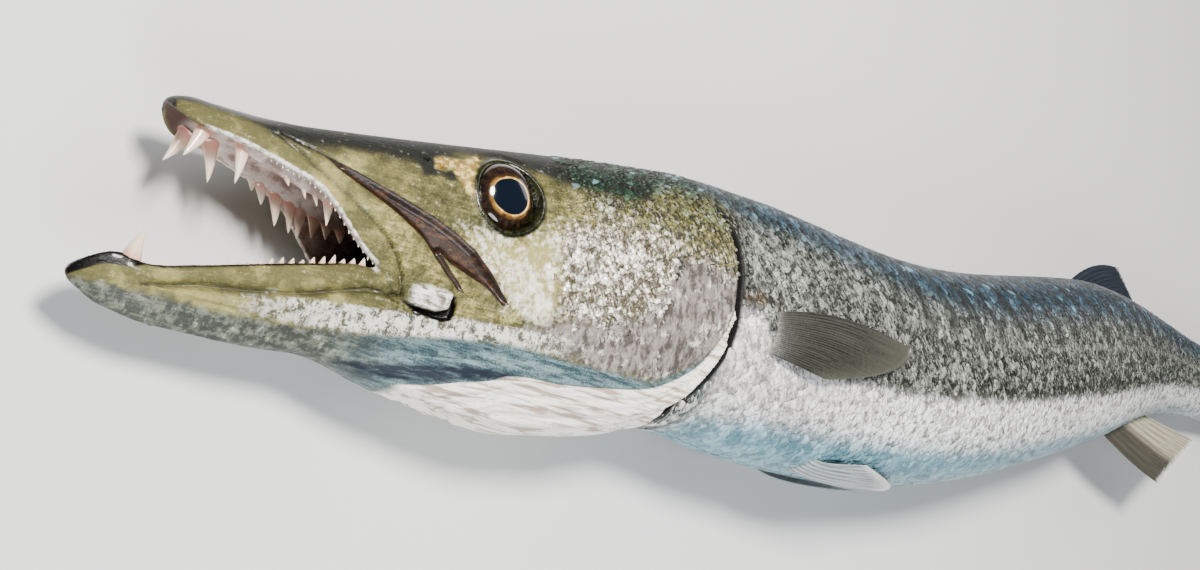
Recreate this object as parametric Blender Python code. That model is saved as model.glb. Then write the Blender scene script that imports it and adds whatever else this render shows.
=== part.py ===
# Great barracuda, life size, lying on its right side with its mouth open.
# The fish is modelled straight and then laid in its pose. While it is straight,
# x is the station along its length from the tip of the lower jaw (tailward),
# y is the height towards the back, and z is the width towards its left side.
# Sizes in the tables are centimetres.

import math
import random

import bmesh
import bpy
import numpy as np
from mathutils import Matrix, Vector

CM = 0.01

# Driving dimensions
STANDARD_LENGTH = 106.0        # lower jaw tip to the end of the tail stalk
CAUDAL_REACH = 125.0           # station of the tips of the tail fin's lobes
CAUDAL_FORK = 114.5            # station of the notch between the lobes
CAUDAL_SPREAD = 10.4           # height of each lobe's tip off the axis
HEAD_END = 25.26               # where the cheeks meet the gill covers
TRUNK_START = 25.36
EYE_STATION = 18.6
EYE_HEIGHT = 1.2
EYE_RADIUS = 1.72
EYE_DEPTH = 0.95
TRUNK_JOINTS = (47.7, 66.0, 84.0)
STALK_END = 107.6
GAP = 0.03                     # between neighbouring pieces
ROOT_GAP = 0.05                # from the flat facets of the skin to the root of a fin
REST_LEVEL = -3.2              # height of the floor under the front end of the axis

SNOUT_TIP = 2.5
SNOUT_ROUND = 1.3
SNOUT_CENTRE = 1.2
JAW_TIP = -0.15
JAW_ROUND = 1.9
JAW_CENTRE = -7.05
JAW_END = 19.5
COVER_TOP = 41.0               # degrees round the body, 0 at the flank, 90 at the back
COVER_BOTTOM = -45.0
SLIT_WIDTH = 0.38


# A smooth curve through (station, value) points that never overshoots them.
def curve(*points):
    x = np.array([p[0] for p in points], float)
    y = np.array([p[1] for p in points], float)
    step = np.diff(x)
    slope = np.diff(y) / step
    tangent = np.zeros(len(x))
    tangent[0], tangent[-1] = slope[0], slope[-1]
    for i in range(1, len(x) - 1):
        before, after = slope[i - 1], slope[i]
        if before * after > 0:
            near, far = 2 * step[i] + step[i - 1], step[i] + 2 * step[i - 1]
            tangent[i] = (near + far) / (near / before + far / after)

    def at(s):
        s = min(max(s, x[0]), x[-1])
        i = min(max(int(np.searchsorted(x, s, side="right")) - 1, 0), len(step) - 1)
        t = (s - x[i]) / step[i]
        return (y[i] * (1 + 2 * t) * (1 - t) ** 2 + y[i + 1] * t * t * (3 - 2 * t)
                + step[i] * t * (1 - t) * (tangent[i] * (1 - t) - tangent[i + 1] * t))

    return at


# Body outline: height of the back, depth of the belly and half width at each station
back = curve((2.5, 1.72), (4.1, 1.72), (6.0, 1.78), (8.0, 1.98), (10.6, 2.5), (15.9, 3.64),
             (21.2, 4.79), (26.5, 5.84), (31.8, 6.72), (37.1, 7.0), (42.4, 6.85), (53.0, 6.45),
             (63.6, 6.2), (74.2, 5.98), (79.5, 5.34), (84.8, 4.51), (90.1, 3.79), (95.4, 3.3),
             (100.7, 3.09), (106.0, 2.98), (108.0, 3.1))
belly = curve((0.0, 8.3), (10.0, 8.35), (13.7, 8.55), (18.7, 9.05), (21.6, 9.25), (25.1, 8.75),
              (27.6, 8.2), (30.2, 7.3), (32.5, 7.15), (37.1, 7.57), (42.4, 7.66), (53.0, 7.29),
              (63.6, 6.65), (74.2, 5.9), (79.5, 5.18), (84.8, 4.36), (90.1, 3.71), (95.4, 3.28),
              (100.7, 3.07), (106.0, 2.98), (108.0, 3.1))
breadth = curve((0.0, 1.0), (2.5, 1.25), (5.3, 1.62), (10.6, 2.35), (15.9, 3.22), (21.2, 3.98),
                (26.5, 4.61), (31.8, 5.06), (37.1, 5.48), (42.4, 5.79), (53.0, 6.0),
                (58.3, 5.86), (63.6, 5.57), (68.9, 5.21), (74.2, 4.72), (79.5, 4.06),
                (84.8, 3.32), (90.1, 2.74), (95.4, 2.25), (100.7, 1.84), (106.0, 1.35),
                (108.0, 0.7))
upperFullness = curve((0.0, 2.4), (26.0, 2.4), (36.0, 2.2), (108.0, 2.2))
lowerFullness = curve((0.0, 3.0), (26.0, 3.0), (34.0, 2.2), (108.0, 2.2))
foreheadDish = curve((8.0, 0.0), (12.0, 0.12), (18.0, 0.26), (22.0, 0.14), (26.0, 0.0))
SHOULDER_HOLLOW = 0.25         # the flank falls in behind the gill covers
SHOULDER_STATION = 34.8

# Mouth: upper lip's edge, roof, lower lip's edge, and the underside and floor of the lower jaw
upperLip = curve((2.5, 0.7), (3.7, 0.25), (5.6, 0.0), (7.5, -0.4), (9.5, -1.0), (10.6, -1.9),
                 (11.7, -3.0), (13.1, -4.05), (14.0, -5.0), (14.8, -5.2), (17.0, -5.35),
                 (19.5, -5.85), (22.0, -6.5), (25.3, -6.9))
mouthRoof = curve((2.5, 0.95), (5.0, 0.6), (7.0, 0.38), (9.0, 0.32), (11.0, 0.15),
                  (13.0, -0.15), (16.0, -0.9), (19.0, -2.3), (21.0, -4.2), (22.6, -6.0),
                  (23.4, -6.7), (25.3, -6.9))
lowerLip = curve((0.0, -6.0), (1.5, -5.85), (2.3, -6.05), (2.9, -6.1), (4.9, -5.65),
                 (6.6, -5.15), (10.1, -4.2), (12.0, -3.8), (19.5, -3.8))
jawUnderside = curve((0.0, -8.12), (1.5, -8.15), (3.7, -8.45), (5.9, -8.4), (8.2, -8.3),
                     (10.2, -8.1), (15.0, -7.45), (17.6, -7.05), (19.5, -6.85))
floorDrop = curve((0.0, 0.3), (2.0, 0.4), (4.0, 0.9), (8.0, 1.3), (12.0, 1.6), (14.5, 0.9),
                  (19.5, 0.5))
throatNarrowing = curve((10.0, 0.5), (19.5, 1.0), (30.0, 1.0))

# Rear edge of the gill cover, by degrees round the body
gillEdge = curve((-90.0, 30.2), (-60.0, 30.4), (-50.0, 30.9), (-40.0, 31.5), (-25.0, 32.2),
                 (-10.0, 32.5), (5.0, 32.5), (14.0, 32.35), (25.0, 32.0), (35.0, 31.2),
                 (42.0, 29.9))

# Side outline of the upper jaw: (station, height) along its seam with the head
JAW_SEAM = ((7.3, 4.0), (7.3, 1.4), (8.2, 0.7), (9.7, 0.0), (12.2, -0.9), (13.8, -1.7),
            (15.0, -2.5), (16.1, -3.5), (16.6, -4.3), (16.45, -5.0), (16.45, -6.2))

# Pose: bend in the side view and droop towards the floor, in degrees, along the axis
bend = curve((0.0, -7.5), (32.9, -7.5), (42.4, -6.44), (53.0, 2.35), (63.6, 8.22), (76.3, 7.24),
             (89.0, 0.44), (106.0, -4.31), (126.0, -4.31))
droop = curve((0.0, 3.4), (32.9, 3.4), (42.4, 2.2), (53.0, 0.6), (63.6, -1.2), (76.3, -4.5),
              (89.0, -6.0), (106.0, -6.5), (126.0, -7.6))

COLOURS = {
    "head": ((0.30, 0.30, 0.16), 0.35, 0.3),
    "upper_jaw": ((0.42, 0.38, 0.20), 0.35, 0.2),
    "lower_jaw": ((0.36, 0.34, 0.20), 0.35, 0.2),
    "throat": ((0.78, 0.76, 0.74), 0.4, 0.1),
    "gill_cover": ((0.62, 0.58, 0.58), 0.3, 0.5),
    "eye": ((0.02, 0.03, 0.08), 0.05, 0.0),
    "trunk": ((0.45, 0.47, 0.46), 0.3, 0.6),
    "fin": ((0.12, 0.13, 0.11), 0.4, 0.1),
}


def halfWidth(s):
    hollow = SHOULDER_HOLLOW * math.exp(-((s - SHOULDER_STATION) / 2.0) ** 2)
    return breadth(s) - hollow


# Point of the outer surface at a station and an angle round the left side
def skin(s, degrees, sideInset=0.0, bellyInset=0.0):
    t = math.radians(degrees)
    across, along = abs(math.cos(t)), abs(math.sin(t))
    if degrees >= 0:
        power = 2 / upperFullness(s)
        width = (halfWidth(s) - sideInset) * across ** power
        height = back(s) * along ** power
        height -= foreheadDish(s) * math.exp(-width * width)
    else:
        power = 2 / lowerFullness(s)
        width = (halfWidth(s) - sideInset) * across ** power
        height = -(belly(s) - bellyInset) * along ** power
    return Vector((s, height, width))


# Angle round the body at which the outer surface is at a height
def angleAt(s, height):
    if height >= 0:
        return math.degrees(math.asin(min(height / back(s), 1) ** (upperFullness(s) / 2)))
    return -math.degrees(math.asin(min(-height / belly(s), 1) ** (lowerFullness(s) / 2)))


def widthAt(s, height):
    return skin(s, angleAt(s, height)).z


# How far a section has opened out, a distance behind a rounded tip
def tipGrowth(s, tip, length, power):
    x = min(max((s - tip) / length, 0.0), 1.0)
    return (1 - (1 - x) ** power) ** (1 / power)


# A whole ring from its left half, which runs from the midline to the midline
def mirrored(half):
    right = [Vector((p.x, p.y, -p.z)) for p in reversed(half[1:-1])]
    return half + right


def newObject(name, mesh):
    for polygon in mesh.polygons:
        polygon.use_smooth = True
    obj = bpy.data.objects.new(name, mesh)
    fish.objects.link(obj)
    return obj


# A closed body through rings with equal counts of points. A shell's rings are its outer
# points and then its inner ones in reverse, and its ends are strips between the two.
def loft(name, rings, shell=False):
    shape = bmesh.new()
    rows = [[shape.verts.new(p) for p in ring] for ring in rings]
    count = len(rings[0])
    for front, rear in zip(rows, rows[1:]):
        for i in range(count):
            j = (i + 1) % count
            shape.faces.new((front[i], front[j], rear[j], rear[i]))
    for row in (rows[0], rows[-1]):
        if shell:
            for i in range(count // 2 - 1):
                j = count - 1 - i
                shape.faces.new((row[i], row[i + 1], row[j - 1], row[j]))
        else:
            shape.faces.new(row)
    shape.normal_update()
    bmesh.ops.triangulate(shape, faces=shape.faces, ngon_method="EAR_CLIP")
    bmesh.ops.recalc_face_normals(shape, faces=shape.faces)
    mesh = bpy.data.meshes.new(name)
    shape.to_mesh(mesh)
    shape.free()
    return newObject(name, mesh)


# A ball squashed to three radii
def ball(name, centre, radii, segments=20, rings=12):
    shape = bmesh.new()
    bmesh.ops.create_uvsphere(shape, u_segments=segments, v_segments=rings, radius=1)
    bmesh.ops.scale(shape, vec=radii, verts=shape.verts)
    bmesh.ops.translate(shape, vec=centre, verts=shape.verts)
    mesh = bpy.data.meshes.new(name)
    shape.to_mesh(mesh)
    shape.free()
    return newObject(name, mesh)


# A block as thick as the fish, with the given outline in the side view
def sidePrism(name, outline, reach=12.0):
    rings = [[Vector((x, y, z)) for x, y in outline] for z in (-reach, reach)]
    return loft(name, rings)


# A tooth: a five-sided cone from a sunk root to its tip
def tooth(root, tip, radius, sink=0.35):
    axis = (tip - root).normalized()
    start = root - axis * sink
    length = (tip - start).length
    shape = bmesh.new()
    bmesh.ops.create_cone(shape, cap_ends=True, segments=5, radius1=radius,
                          radius2=radius * 0.12, depth=length)
    turn = axis.to_track_quat("Z", "Y").to_matrix().to_4x4()
    place = Matrix.Translation((start + tip) / 2) @ turn
    bmesh.ops.transform(shape, matrix=place, verts=shape.verts)
    mesh = bpy.data.meshes.new("tooth")
    shape.to_mesh(mesh)
    shape.free()
    return newObject("tooth", mesh)


def removeObject(obj):
    bpy.data.objects.remove(obj)


# Keep only the largest closed surface of an object
def keepLargest(obj):
    shape = bmesh.new()
    shape.from_mesh(obj.data)
    pending = set(shape.verts)
    groups = []
    while pending:
        stack, group = [pending.pop()], []
        while stack:
            vert = stack.pop()
            group.append(vert)
            for edge in vert.link_edges:
                other = edge.other_vert(vert)
                if other in pending:
                    pending.remove(other)
                    stack.append(other)
        groups.append(group)
    groups.sort(key=len, reverse=True)
    for group in groups[1:]:
        bmesh.ops.delete(shape, geom=group, context="VERTS")
    shape.to_mesh(obj.data)
    shape.free()


# Replace an object's mesh by the result of its modifiers
def applyModifiers(obj):
    bpy.context.view_layer.update()
    evaluated = obj.evaluated_get(bpy.context.evaluated_depsgraph_get())
    result = bpy.data.meshes.new_from_object(evaluated)
    obj.modifiers.clear()
    obj.data = result
    keepLargest(obj)


def cut(obj, cutter, operation="DIFFERENCE"):
    modifier = obj.modifiers.new("cut", "BOOLEAN")
    modifier.operation = operation
    modifier.object = cutter
    applyModifiers(obj)


# Join an object and its small pieces in one union
def fuse(obj, pieces):
    group = bpy.data.collections.new("pieces")
    bpy.context.scene.collection.children.link(group)
    for piece in pieces:
        fish.objects.unlink(piece)
        group.objects.link(piece)
    modifier = obj.modifiers.new("join", "BOOLEAN")
    modifier.operation = "UNION"
    modifier.operand_type = "COLLECTION"
    modifier.collection = group
    applyModifiers(obj)
    for piece in list(group.objects):
        removeObject(piece)
    bpy.data.collections.remove(group)


# Upper head

HEAD_STATIONS = ([SNOUT_TIP + SNOUT_ROUND * x for x in (0.02, 0.08, 0.2, 0.42, 0.7, 1.0)]
                 + [4.5, 5.4, 6.3, 7.1, 7.9, 8.7, 9.5, 10.1, 10.7, 11.2, 11.7, 12.2, 12.7, 13.1,
                    13.6, 14.0, 14.5, 15.3, 16.2, 17.1, 18.0, 18.9, 19.8, 20.6, 21.4, 22.1,
                    22.8, 23.6, 24.4, HEAD_END])


# Outer side down to the upper lip, then in over the lip and up to the roof of the mouth
def headRing(s):
    edge = upperLip(s)
    roof = max(mouthRoof(s), edge)
    outer = [skin(s, a) for a in np.linspace(90, angleAt(s, edge), 11)]
    rim = outer[-1].z
    middle = (edge + roof) / 2
    wall = min(0.65, 0.4 * rim)
    inner = widthAt(s, middle) - wall
    ridge = min(0.3, 0.3 * (roof - edge))
    outer += [Vector((s, edge, rim - 0.5 * wall)), Vector((s, middle, inner)),
              Vector((s, roof - ridge, 0.66 * inner)), Vector((s, roof, 0.3 * inner)),
              Vector((s, roof, 0))]
    growth = tipGrowth(s, SNOUT_TIP, SNOUT_ROUND, 2.0)
    for point in outer:
        point.y = SNOUT_CENTRE + (point.y - SNOUT_CENTRE) * growth
        point.z *= growth
    outer[0].z = 0
    return mirrored(outer)


# Pits for the two nostrils of each side: (station, height, radius)
NOSTRILS = ((15.1, 2.0, 0.2), (15.75, 2.1, 0.15))


def eyeCentre(side):
    return Vector((EYE_STATION, EYE_HEIGHT,
                   side * (widthAt(EYE_STATION, EYE_HEIGHT) + 0.12 - EYE_DEPTH)))


def makeHead():
    head = loft("head", [headRing(s) for s in HEAD_STATIONS])
    jaw = newObject("upper_jaw", head.data.copy())
    front = [(SNOUT_TIP - 2, -6.2), (SNOUT_TIP - 2, 4.0)]
    block = sidePrism("jaw_block", front + list(JAW_SEAM))
    cut(jaw, block, "INTERSECT")
    removeObject(block)
    behind = [(x + GAP, y + GAP) for x, y in JAW_SEAM]
    block = sidePrism("jaw_block", front + behind)
    cut(head, block)
    removeObject(block)
    for side in (1, -1):
        socket = ball("socket", eyeCentre(side),
                      (EYE_RADIUS + GAP, EYE_RADIUS + GAP, EYE_DEPTH + GAP))
        cut(head, socket)
        removeObject(socket)
        for station, height, radius in NOSTRILS:
            centre = Vector((station, height, side * widthAt(station, height)))
            pit = ball("pit", centre, (radius, radius * 0.8, radius), 8, 6)
            cut(head, pit)
            removeObject(pit)
    for vert in jaw.data.vertices:
        vert.co.z *= 1.03
    return head, jaw


# Teeth of the roof: (station, height, distance off the midline, length)
PALATE_TEETH = ((10.05, 0.0, 0.9, 1.1), (10.75, -0.05, 0.95, 1.25), (11.45, -0.1, 1.0, 1.1),
                (12.15, -0.2, 1.05, 0.8))
# Fangs of the upper jaw: (station, height, distance off the midline, lean forward, length)
UPPER_FANGS = ((4.0, 0.3, 0.8, 0.5, 1.35), (5.3, 0.3, 0.78, 0.1, 1.45), (5.95, 0.3, 0.85, 0.0, 1.6))
LOWER_FANG = ((2.15, -6.1, 0.5), (2.6, -4.8, 0.5))
LOWER_TEETH = 16
LOWER_TEETH_START = 4.0
LOWER_TEETH_END = 11.9


def upperTeeth():
    teeth = []
    for station, height, off, lean, length in UPPER_FANGS:
        for side in (1, -1):
            root = Vector((station, height, side * off))
            tip = root + Vector((-lean, -length, side * 0.05))
            teeth.append(tooth(root, tip, 0.27))
    return teeth


def palateTeeth():
    teeth = []
    for station, height, off, length in PALATE_TEETH:
        for side in (1, -1):
            root = Vector((station, height, side * off))
            tip = root + Vector((-0.1, -length, 0))
            teeth.append(tooth(root, tip, 0.2, 0.5))
    return teeth


# Lower jaw

JAW_STATIONS = ([JAW_TIP + JAW_ROUND * x for x in (0.02, 0.1, 0.25, 0.45, 0.7)]
                + [1.75, 2.3, 2.9, 3.8, 4.9, 6.0, 7.2, 8.4, 9.5, 10.4, 11.2, 11.7, 12.2, 12.7,
                   13.1, 13.6, 14.0, 14.5, 15.3, 16.2, 17.1, 18.0, 18.9, JAW_END - GAP])
# Outer side of the jaw: (share of its height, share of its half width)
JAW_SIDE = ((0.02, 0.45), (0.1, 0.76), (0.25, 0.93), (0.5, 1.0), (0.7, 0.96), (0.8, 1.0),
            (0.93, 0.98))


def jawRing(s):
    top = min(lowerLip(s), upperLip(s) - 0.06)
    bottom = jawUnderside(s)
    height = top - bottom
    half = [Vector((s, bottom, 0))]
    for share, spread in JAW_SIDE:
        level = bottom + share * height
        half.append(Vector((s, level, spread * widthAt(s, level))))
    rim = 0.92 * widthAt(s, top)
    floor = top - min(floorDrop(s), 0.6 * height)
    lip = min(0.35, 0.35 * rim)
    half += [Vector((s, top, rim)), Vector((s, top, rim - lip)),
             Vector((s, floor + 0.15, rim - 1.3 * lip)), Vector((s, floor, 0.4 * rim)),
             Vector((s, floor - 0.08, 0))]
    growth = tipGrowth(s, JAW_TIP, JAW_ROUND, 1.6)
    for point in half:
        point.y = JAW_CENTRE + (point.y - JAW_CENTRE) * growth
        point.z *= growth
    return mirrored(half)


def lowerTeeth():
    teeth = []
    root, tip = (Vector(p) for p in LOWER_FANG)
    teeth.append(tooth(root, tip, 0.24, 0.5))
    chance = random.Random(7)
    for side in (1, -1):
        for i in range(LOWER_TEETH):
            along = i / (LOWER_TEETH - 1)
            s = LOWER_TEETH_START + (LOWER_TEETH_END - LOWER_TEETH_START) * along
            length = (0.22 + 0.3 * along) * chance.uniform(0.75, 1.15)
            rim = 0.92 * widthAt(s, lowerLip(s)) - 0.17
            root = Vector((s, lowerLip(s) - 0.02, side * rim))
            teeth.append(tooth(root, root + Vector((0.04, length, 0)), 0.13, 0.2))
    return teeth


def makeJaws(upper):
    lower = loft("lower_jaw", [jawRing(s) for s in JAW_STATIONS])
    fuse(lower, lowerTeeth())
    fuse(upper, upperTeeth())
    return lower


# Throat and gill covers

# Rings of a shell from its left edge round the midline to its right edge and back
def shellRing(outer, inner):
    far = [Vector((p.x, p.y, -p.z)) for p in reversed(outer[:-1])]
    near = [Vector((p.x, p.y, -p.z)) for p in inner[:-1]]
    return outer + far + near + inner[::-1]


def throatRing(s, top, narrow):
    width = widthAt(s, top) * narrow
    angles = np.linspace(angleAt(s, top), -90, 6)
    outer = [skin(s, a) for a in angles]
    for point in outer:
        point.z *= narrow
    inner = [Vector((s, top, width * share)) for share in (0.93, 0.75, 0.55, 0.36, 0.18, 0)]
    outer[-1].z = 0
    return shellRing(outer, inner)


# Behind the head the throat is a trough that hugs the belly
def troughRing(share):
    start = TRUNK_START - GAP
    outer, inner = [], []
    for a in np.linspace(COVER_BOTTOM - 1.3, -90, 6):
        s = start + (gillEdge(a) - start) * share
        outer.append(skin(s, a))
        inner.append(skin(s, a, 0.72, 0.8))
    outer[-1].z = inner[-1].z = 0
    return shellRing(outer, inner)


def makeThroat():
    rings = []
    for s in (10.6, 12.0, 13.5, 15.0, 16.5, 18.0, JAW_END - GAP):
        rings.append(throatRing(s, jawUnderside(s) - 0.12, throatNarrowing(s)))
    for s in (JAW_END + GAP, 21.0, 22.5, 24.0, HEAD_END + GAP):
        rings.append(throatRing(s, upperLip(s) - 0.08, 1.0))
    for share in (0, 0.25, 0.5, 0.75, 1):
        rings.append(troughRing(share))
    return loft("throat", rings, shell=True)


COVER_THICKNESS = 0.55
COVER_FLARE = 0.12


# A plate over the gills: rings run from its front edge to its rear edge
def makeGillCover(name, side):
    rings = []
    start = HEAD_END + GAP
    angles = np.linspace(COVER_TOP, COVER_BOTTOM, 13)
    for share in np.linspace(0, 1, 8):
        outer, inner = [], []
        thickness = COVER_THICKNESS * (1 - 0.55 * share ** 3)
        for a in angles:
            s = start + (gillEdge(a) - start) * share
            point = skin(s, a)
            point.z += COVER_FLARE * share ** 2 * math.cos(math.radians(a))
            outer.append(point)
            inner.append(skin(s, a, thickness, thickness))
        ring = outer + inner[::-1]
        rings.append([Vector((p.x, p.y, side * p.z)) for p in ring])
    return loft(name, rings, shell=True)


# Trunk

# The front length narrows under the gill covers, behind a ledge along their upper edge
def shoulderRing(station, inset):
    half = []
    angles = [90, 80, 70, 60, 50, COVER_TOP + 0.9, COVER_TOP + 0.5]
    angles += list(np.linspace(30, -90, 12))
    for a in angles:
        covered = a <= COVER_TOP + 0.5
        side, under = (0.95, 1.0) if covered and inset else (0, 0)
        half.append(skin(station(gillEdge(a)), a, side, under))
    half[0].z = half[-1].z = 0
    return mirrored(half)


def makeTrunkFront():
    start, end = TRUNK_START, TRUNK_JOINTS[0]
    settled = 36.0
    rings = [shoulderRing(lambda edge: start, True),
             shoulderRing(lambda edge: (start + edge) / 2, True),
             shoulderRing(lambda edge: edge + 0.02, True),
             shoulderRing(lambda edge: edge + SLIT_WIDTH, False)]
    for share in (0.3, 0.6, 0.8):
        rings.append(shoulderRing(
            lambda edge: (edge + SLIT_WIDTH) * (1 - share) + settled * share, False))
    for s in (settled, 38.0, 40.5, 43.0, 45.5, end - GAP / 2):
        rings.append(shoulderRing(lambda edge: s, False))
    return loft("trunk_front", rings)


def bodyRing(s):
    half = [skin(s, a) for a in np.linspace(90, -90, 13)]
    half[0].z = half[-1].z = 0
    return mirrored(half)


def makeTrunkLength(name, start, end, count):
    stations = np.linspace(start + GAP / 2, end - GAP / 2, count)
    return loft(name, [bodyRing(s) for s in stations])


# Fins

RAY_ROOT, RAY_TIP = 0.075, 0.03        # half thickness along a ray
WEB_ROOT, WEB_TIP = 0.05, 0.026        # half thickness between rays


# A fin from its rays, each a list of points from root to tip. Between two rays a web
# runs; rays and webs are ridges and valleys of one closed sheet.
def makeFin(name, rays, rootHalf=None):
    columns = []
    for i, ray in enumerate(rays):
        columns.append((ray, RAY_ROOT, RAY_TIP))
        if i < len(rays) - 1:
            web = [(a + b) / 2 for a, b in zip(ray, rays[i + 1])]
            columns.append((web, WEB_ROOT, WEB_TIP))
    count, rows = len(columns), len(rays[0])
    grid = [c[0] for c in columns]
    shape = bmesh.new()
    faces = {1: [], -1: []}
    for side in (1, -1):
        for i in range(count):
            line = []
            for j in range(rows):
                along = grid[i][min(j + 1, rows - 1)] - grid[i][max(j - 1, 0)]
                across = grid[min(i + 1, count - 1)][j] - grid[max(i - 1, 0)][j]
                normal = along.cross(across).normalized()
                share = j / (rows - 1)
                half = columns[i][1] * (1 - share) + columns[i][2] * share
                if rootHalf and j < len(rootHalf):
                    half = rootHalf[j](i / (count - 1))
                line.append(shape.verts.new(grid[i][j] + normal * half * side))
            faces[side].append(line)
    top, under = faces[1], faces[-1]
    for i in range(count - 1):
        for j in range(rows - 1):
            for sheet in (top, under):
                corners = (sheet[i][j], sheet[i + 1][j], sheet[i + 1][j + 1], sheet[i][j + 1])
                shape.faces.new((corners[0], corners[1], corners[2]))
                shape.faces.new((corners[0], corners[2], corners[3]))
    border = ([(i, 0) for i in range(count - 1)] + [(count - 1, j) for j in range(rows - 1)]
              + [(i, rows - 1) for i in range(count - 1, 0, -1)]
              + [(0, j) for j in range(rows - 1, 0, -1)])
    for (i, j), (k, l) in zip(border, border[1:] + border[:1]):
        shape.faces.new((top[i][j], top[k][l], under[k][l], under[i][j]))
    bmesh.ops.triangulate(shape, faces=[f for f in shape.faces if len(f.verts) > 3])
    bmesh.ops.recalc_face_normals(shape, faces=shape.faces)
    mesh = bpy.data.meshes.new(name)
    shape.to_mesh(mesh)
    shape.free()
    return newObject(name, mesh)


# A ray from root to tip, bowed sideways by a share of its length
def bowedRay(root, tip, bow, rows):
    ray = []
    for j in range(rows):
        v = j / (rows - 1)
        ray.append(root.lerp(tip, v) + bow * 4 * v * (1 - v))
    return ray


# A fin of the back or belly, from the stations and heights of its first and last ray
def medianRays(first, last, count, bows, rows=6, lean=0.0):
    rays = []
    for i in range(count):
        v = i / (count - 1)
        root = first[0].lerp(last[0], v)
        tip = first[1].lerp(last[1], v)
        above = root.y > 0
        root.y = back(root.x) + ROOT_GAP if above else -belly(root.x) - ROOT_GAP
        tip.z += lean
        bow = Vector((0, bows[0] * (1 - v) + bows[1] * v, 0))
        rays.append(bowedRay(root, tip, bow, rows))
    return rays


def makeMedianFins():
    folded = []
    for i in range(5):
        s = 44.5 + 1.7 * i
        reach = s + 1.6
        root = Vector((s, back(s) + ROOT_GAP, 0))
        tip = Vector((reach, back(reach) + 0.5 - 0.05 * i, 0))
        folded.append(bowedRay(root, tip, Vector((0, 0.04, 0)), 4))
    makeFin("first_dorsal_fin", folded)
    makeFin("second_dorsal_fin",
            medianRays((Vector((75.3, 1, 0)), Vector((84.2, 7.25, 0))),
                       (Vector((84.0, 1, 0)), Vector((88.8, 4.75, 0))), 10, (0.62, 0.05)))
    makeFin("anal_fin",
            medianRays((Vector((78.5, -1, 0)), Vector((88.0, -9.4, 0))),
                       (Vector((87.5, -1, 0)), Vector((96.6, -5.4, 0))), 10, (-0.45, -0.1),
                       lean=1.0))


def makeCaudalFin():
    rays = []
    count = 19
    start = STALK_END + GAP
    for i in range(count):
        q = 2 * i / (count - 1) - 1
        size = abs(q)
        side = 1 if q > 0 else -1
        root = Vector((start, 0.94 * q * back(STALK_END), 0))
        reach = CAUDAL_FORK + (CAUDAL_REACH - CAUDAL_FORK) * size ** 1.25
        tip = Vector((reach, side * CAUDAL_SPREAD * size ** 0.95, 0))
        bow = Vector((0, side * 0.7 * size ** 2, 0))
        rays.append(bowedRay(root, tip, bow, 8))
    thick = halfWidth(STALK_END)
    swell = [lambda u, k=k: 0.06 + k * thick * (1 - (2 * u - 1) ** 2) for k in (0.8, 0.3, 0.06)]
    return makeFin("caudal_fin", rays, swell)


# A paired fin that rises from the skin and turns back along the flank. Each ray goes from
# (station, degrees) at the root to (station, degrees) at the tip, standing off the skin
# by a growing distance.
def flankRays(roots, tips, stand, side, rows=7, crown=0.0):
    rays = []
    for i, (root, tip) in enumerate(zip(roots, tips)):
        ray = []
        for j in range(rows):
            v = j / (rows - 1)
            s = root[0] + (tip[0] - root[0]) * v ** 1.15
            a = root[1] + (tip[1] - root[1]) * v
            off = 2 * ROOT_GAP + (stand[0] + stand[1] * v) * (1 - (1 - v) ** 6)
            off += crown * math.sin(math.pi * v) * math.sin(math.pi * i / (len(roots) - 1))
            here = skin(s, a)
            ahead, round_ = skin(s + 0.1, a) - here, skin(s, a - 1) - here
            normal = ahead.cross(round_).normalized()
            if normal.z < 0:
                normal.negate()
            point = here + normal * off
            ray.append(Vector((point.x, point.y, side * point.z)))
        rays.append(ray)
    return rays


def makePairedFins():
    count = 9
    leftRoots, leftTips, rightRoots, rightTips = [], [], [], []
    for i in range(count):
        v = i / (count - 1)
        reach = 44.2 - 5.2 * v ** 1.6
        leftRoots.append((34.0 + 0.5 * v, -5 - 16 * v))
        leftTips.append((reach, 0.5 - 21 * v ** 0.8))
        rightRoots.append((34.0 + 0.5 * v, -9 - 16 * v))
        rightTips.append((reach - 0.8, -36 - 20 * v ** 0.8))
    makeFin("pectoral_fin_left", flankRays(leftRoots, leftTips, (0.2, 0.45), 1, crown=0.15))
    makeFin("pectoral_fin_right", flankRays(rightRoots, rightTips, (0.12, 0.1), -1))
    for name, side in (("pelvic_fin_left", 1), ("pelvic_fin_right", -1)):
        roots = [(41.6 + 0.08 * i, -80 + 2.6 * i) for i in range(7)]
        tips = [(49.6 - 0.12 * i * i, -82 + 4.2 * i) for i in range(7)]
        makeFin(name, flankRays(roots, tips, (0.16, 0.12), side))


# Pose

# Positions and directions along the bent axis, in small steps
def bentAxis():
    step = 0.25
    stations = np.arange(0, 130 + step, step)
    turn = np.radians([bend(s) for s in stations])
    fall = np.radians([droop(s) for s in stations])
    ahead = np.stack([np.cos(turn) * np.cos(fall), np.sin(turn) * np.cos(fall), np.sin(fall)], 1)
    left = np.stack([-np.cos(turn) * np.sin(fall), -np.sin(turn) * np.sin(fall), np.cos(fall)], 1)
    places = np.zeros((len(stations), 3))
    places[1:] = np.cumsum((ahead[1:] + ahead[:-1]) / 2 * step, 0)
    return stations, places, ahead, np.cross(left, ahead), left


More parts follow.
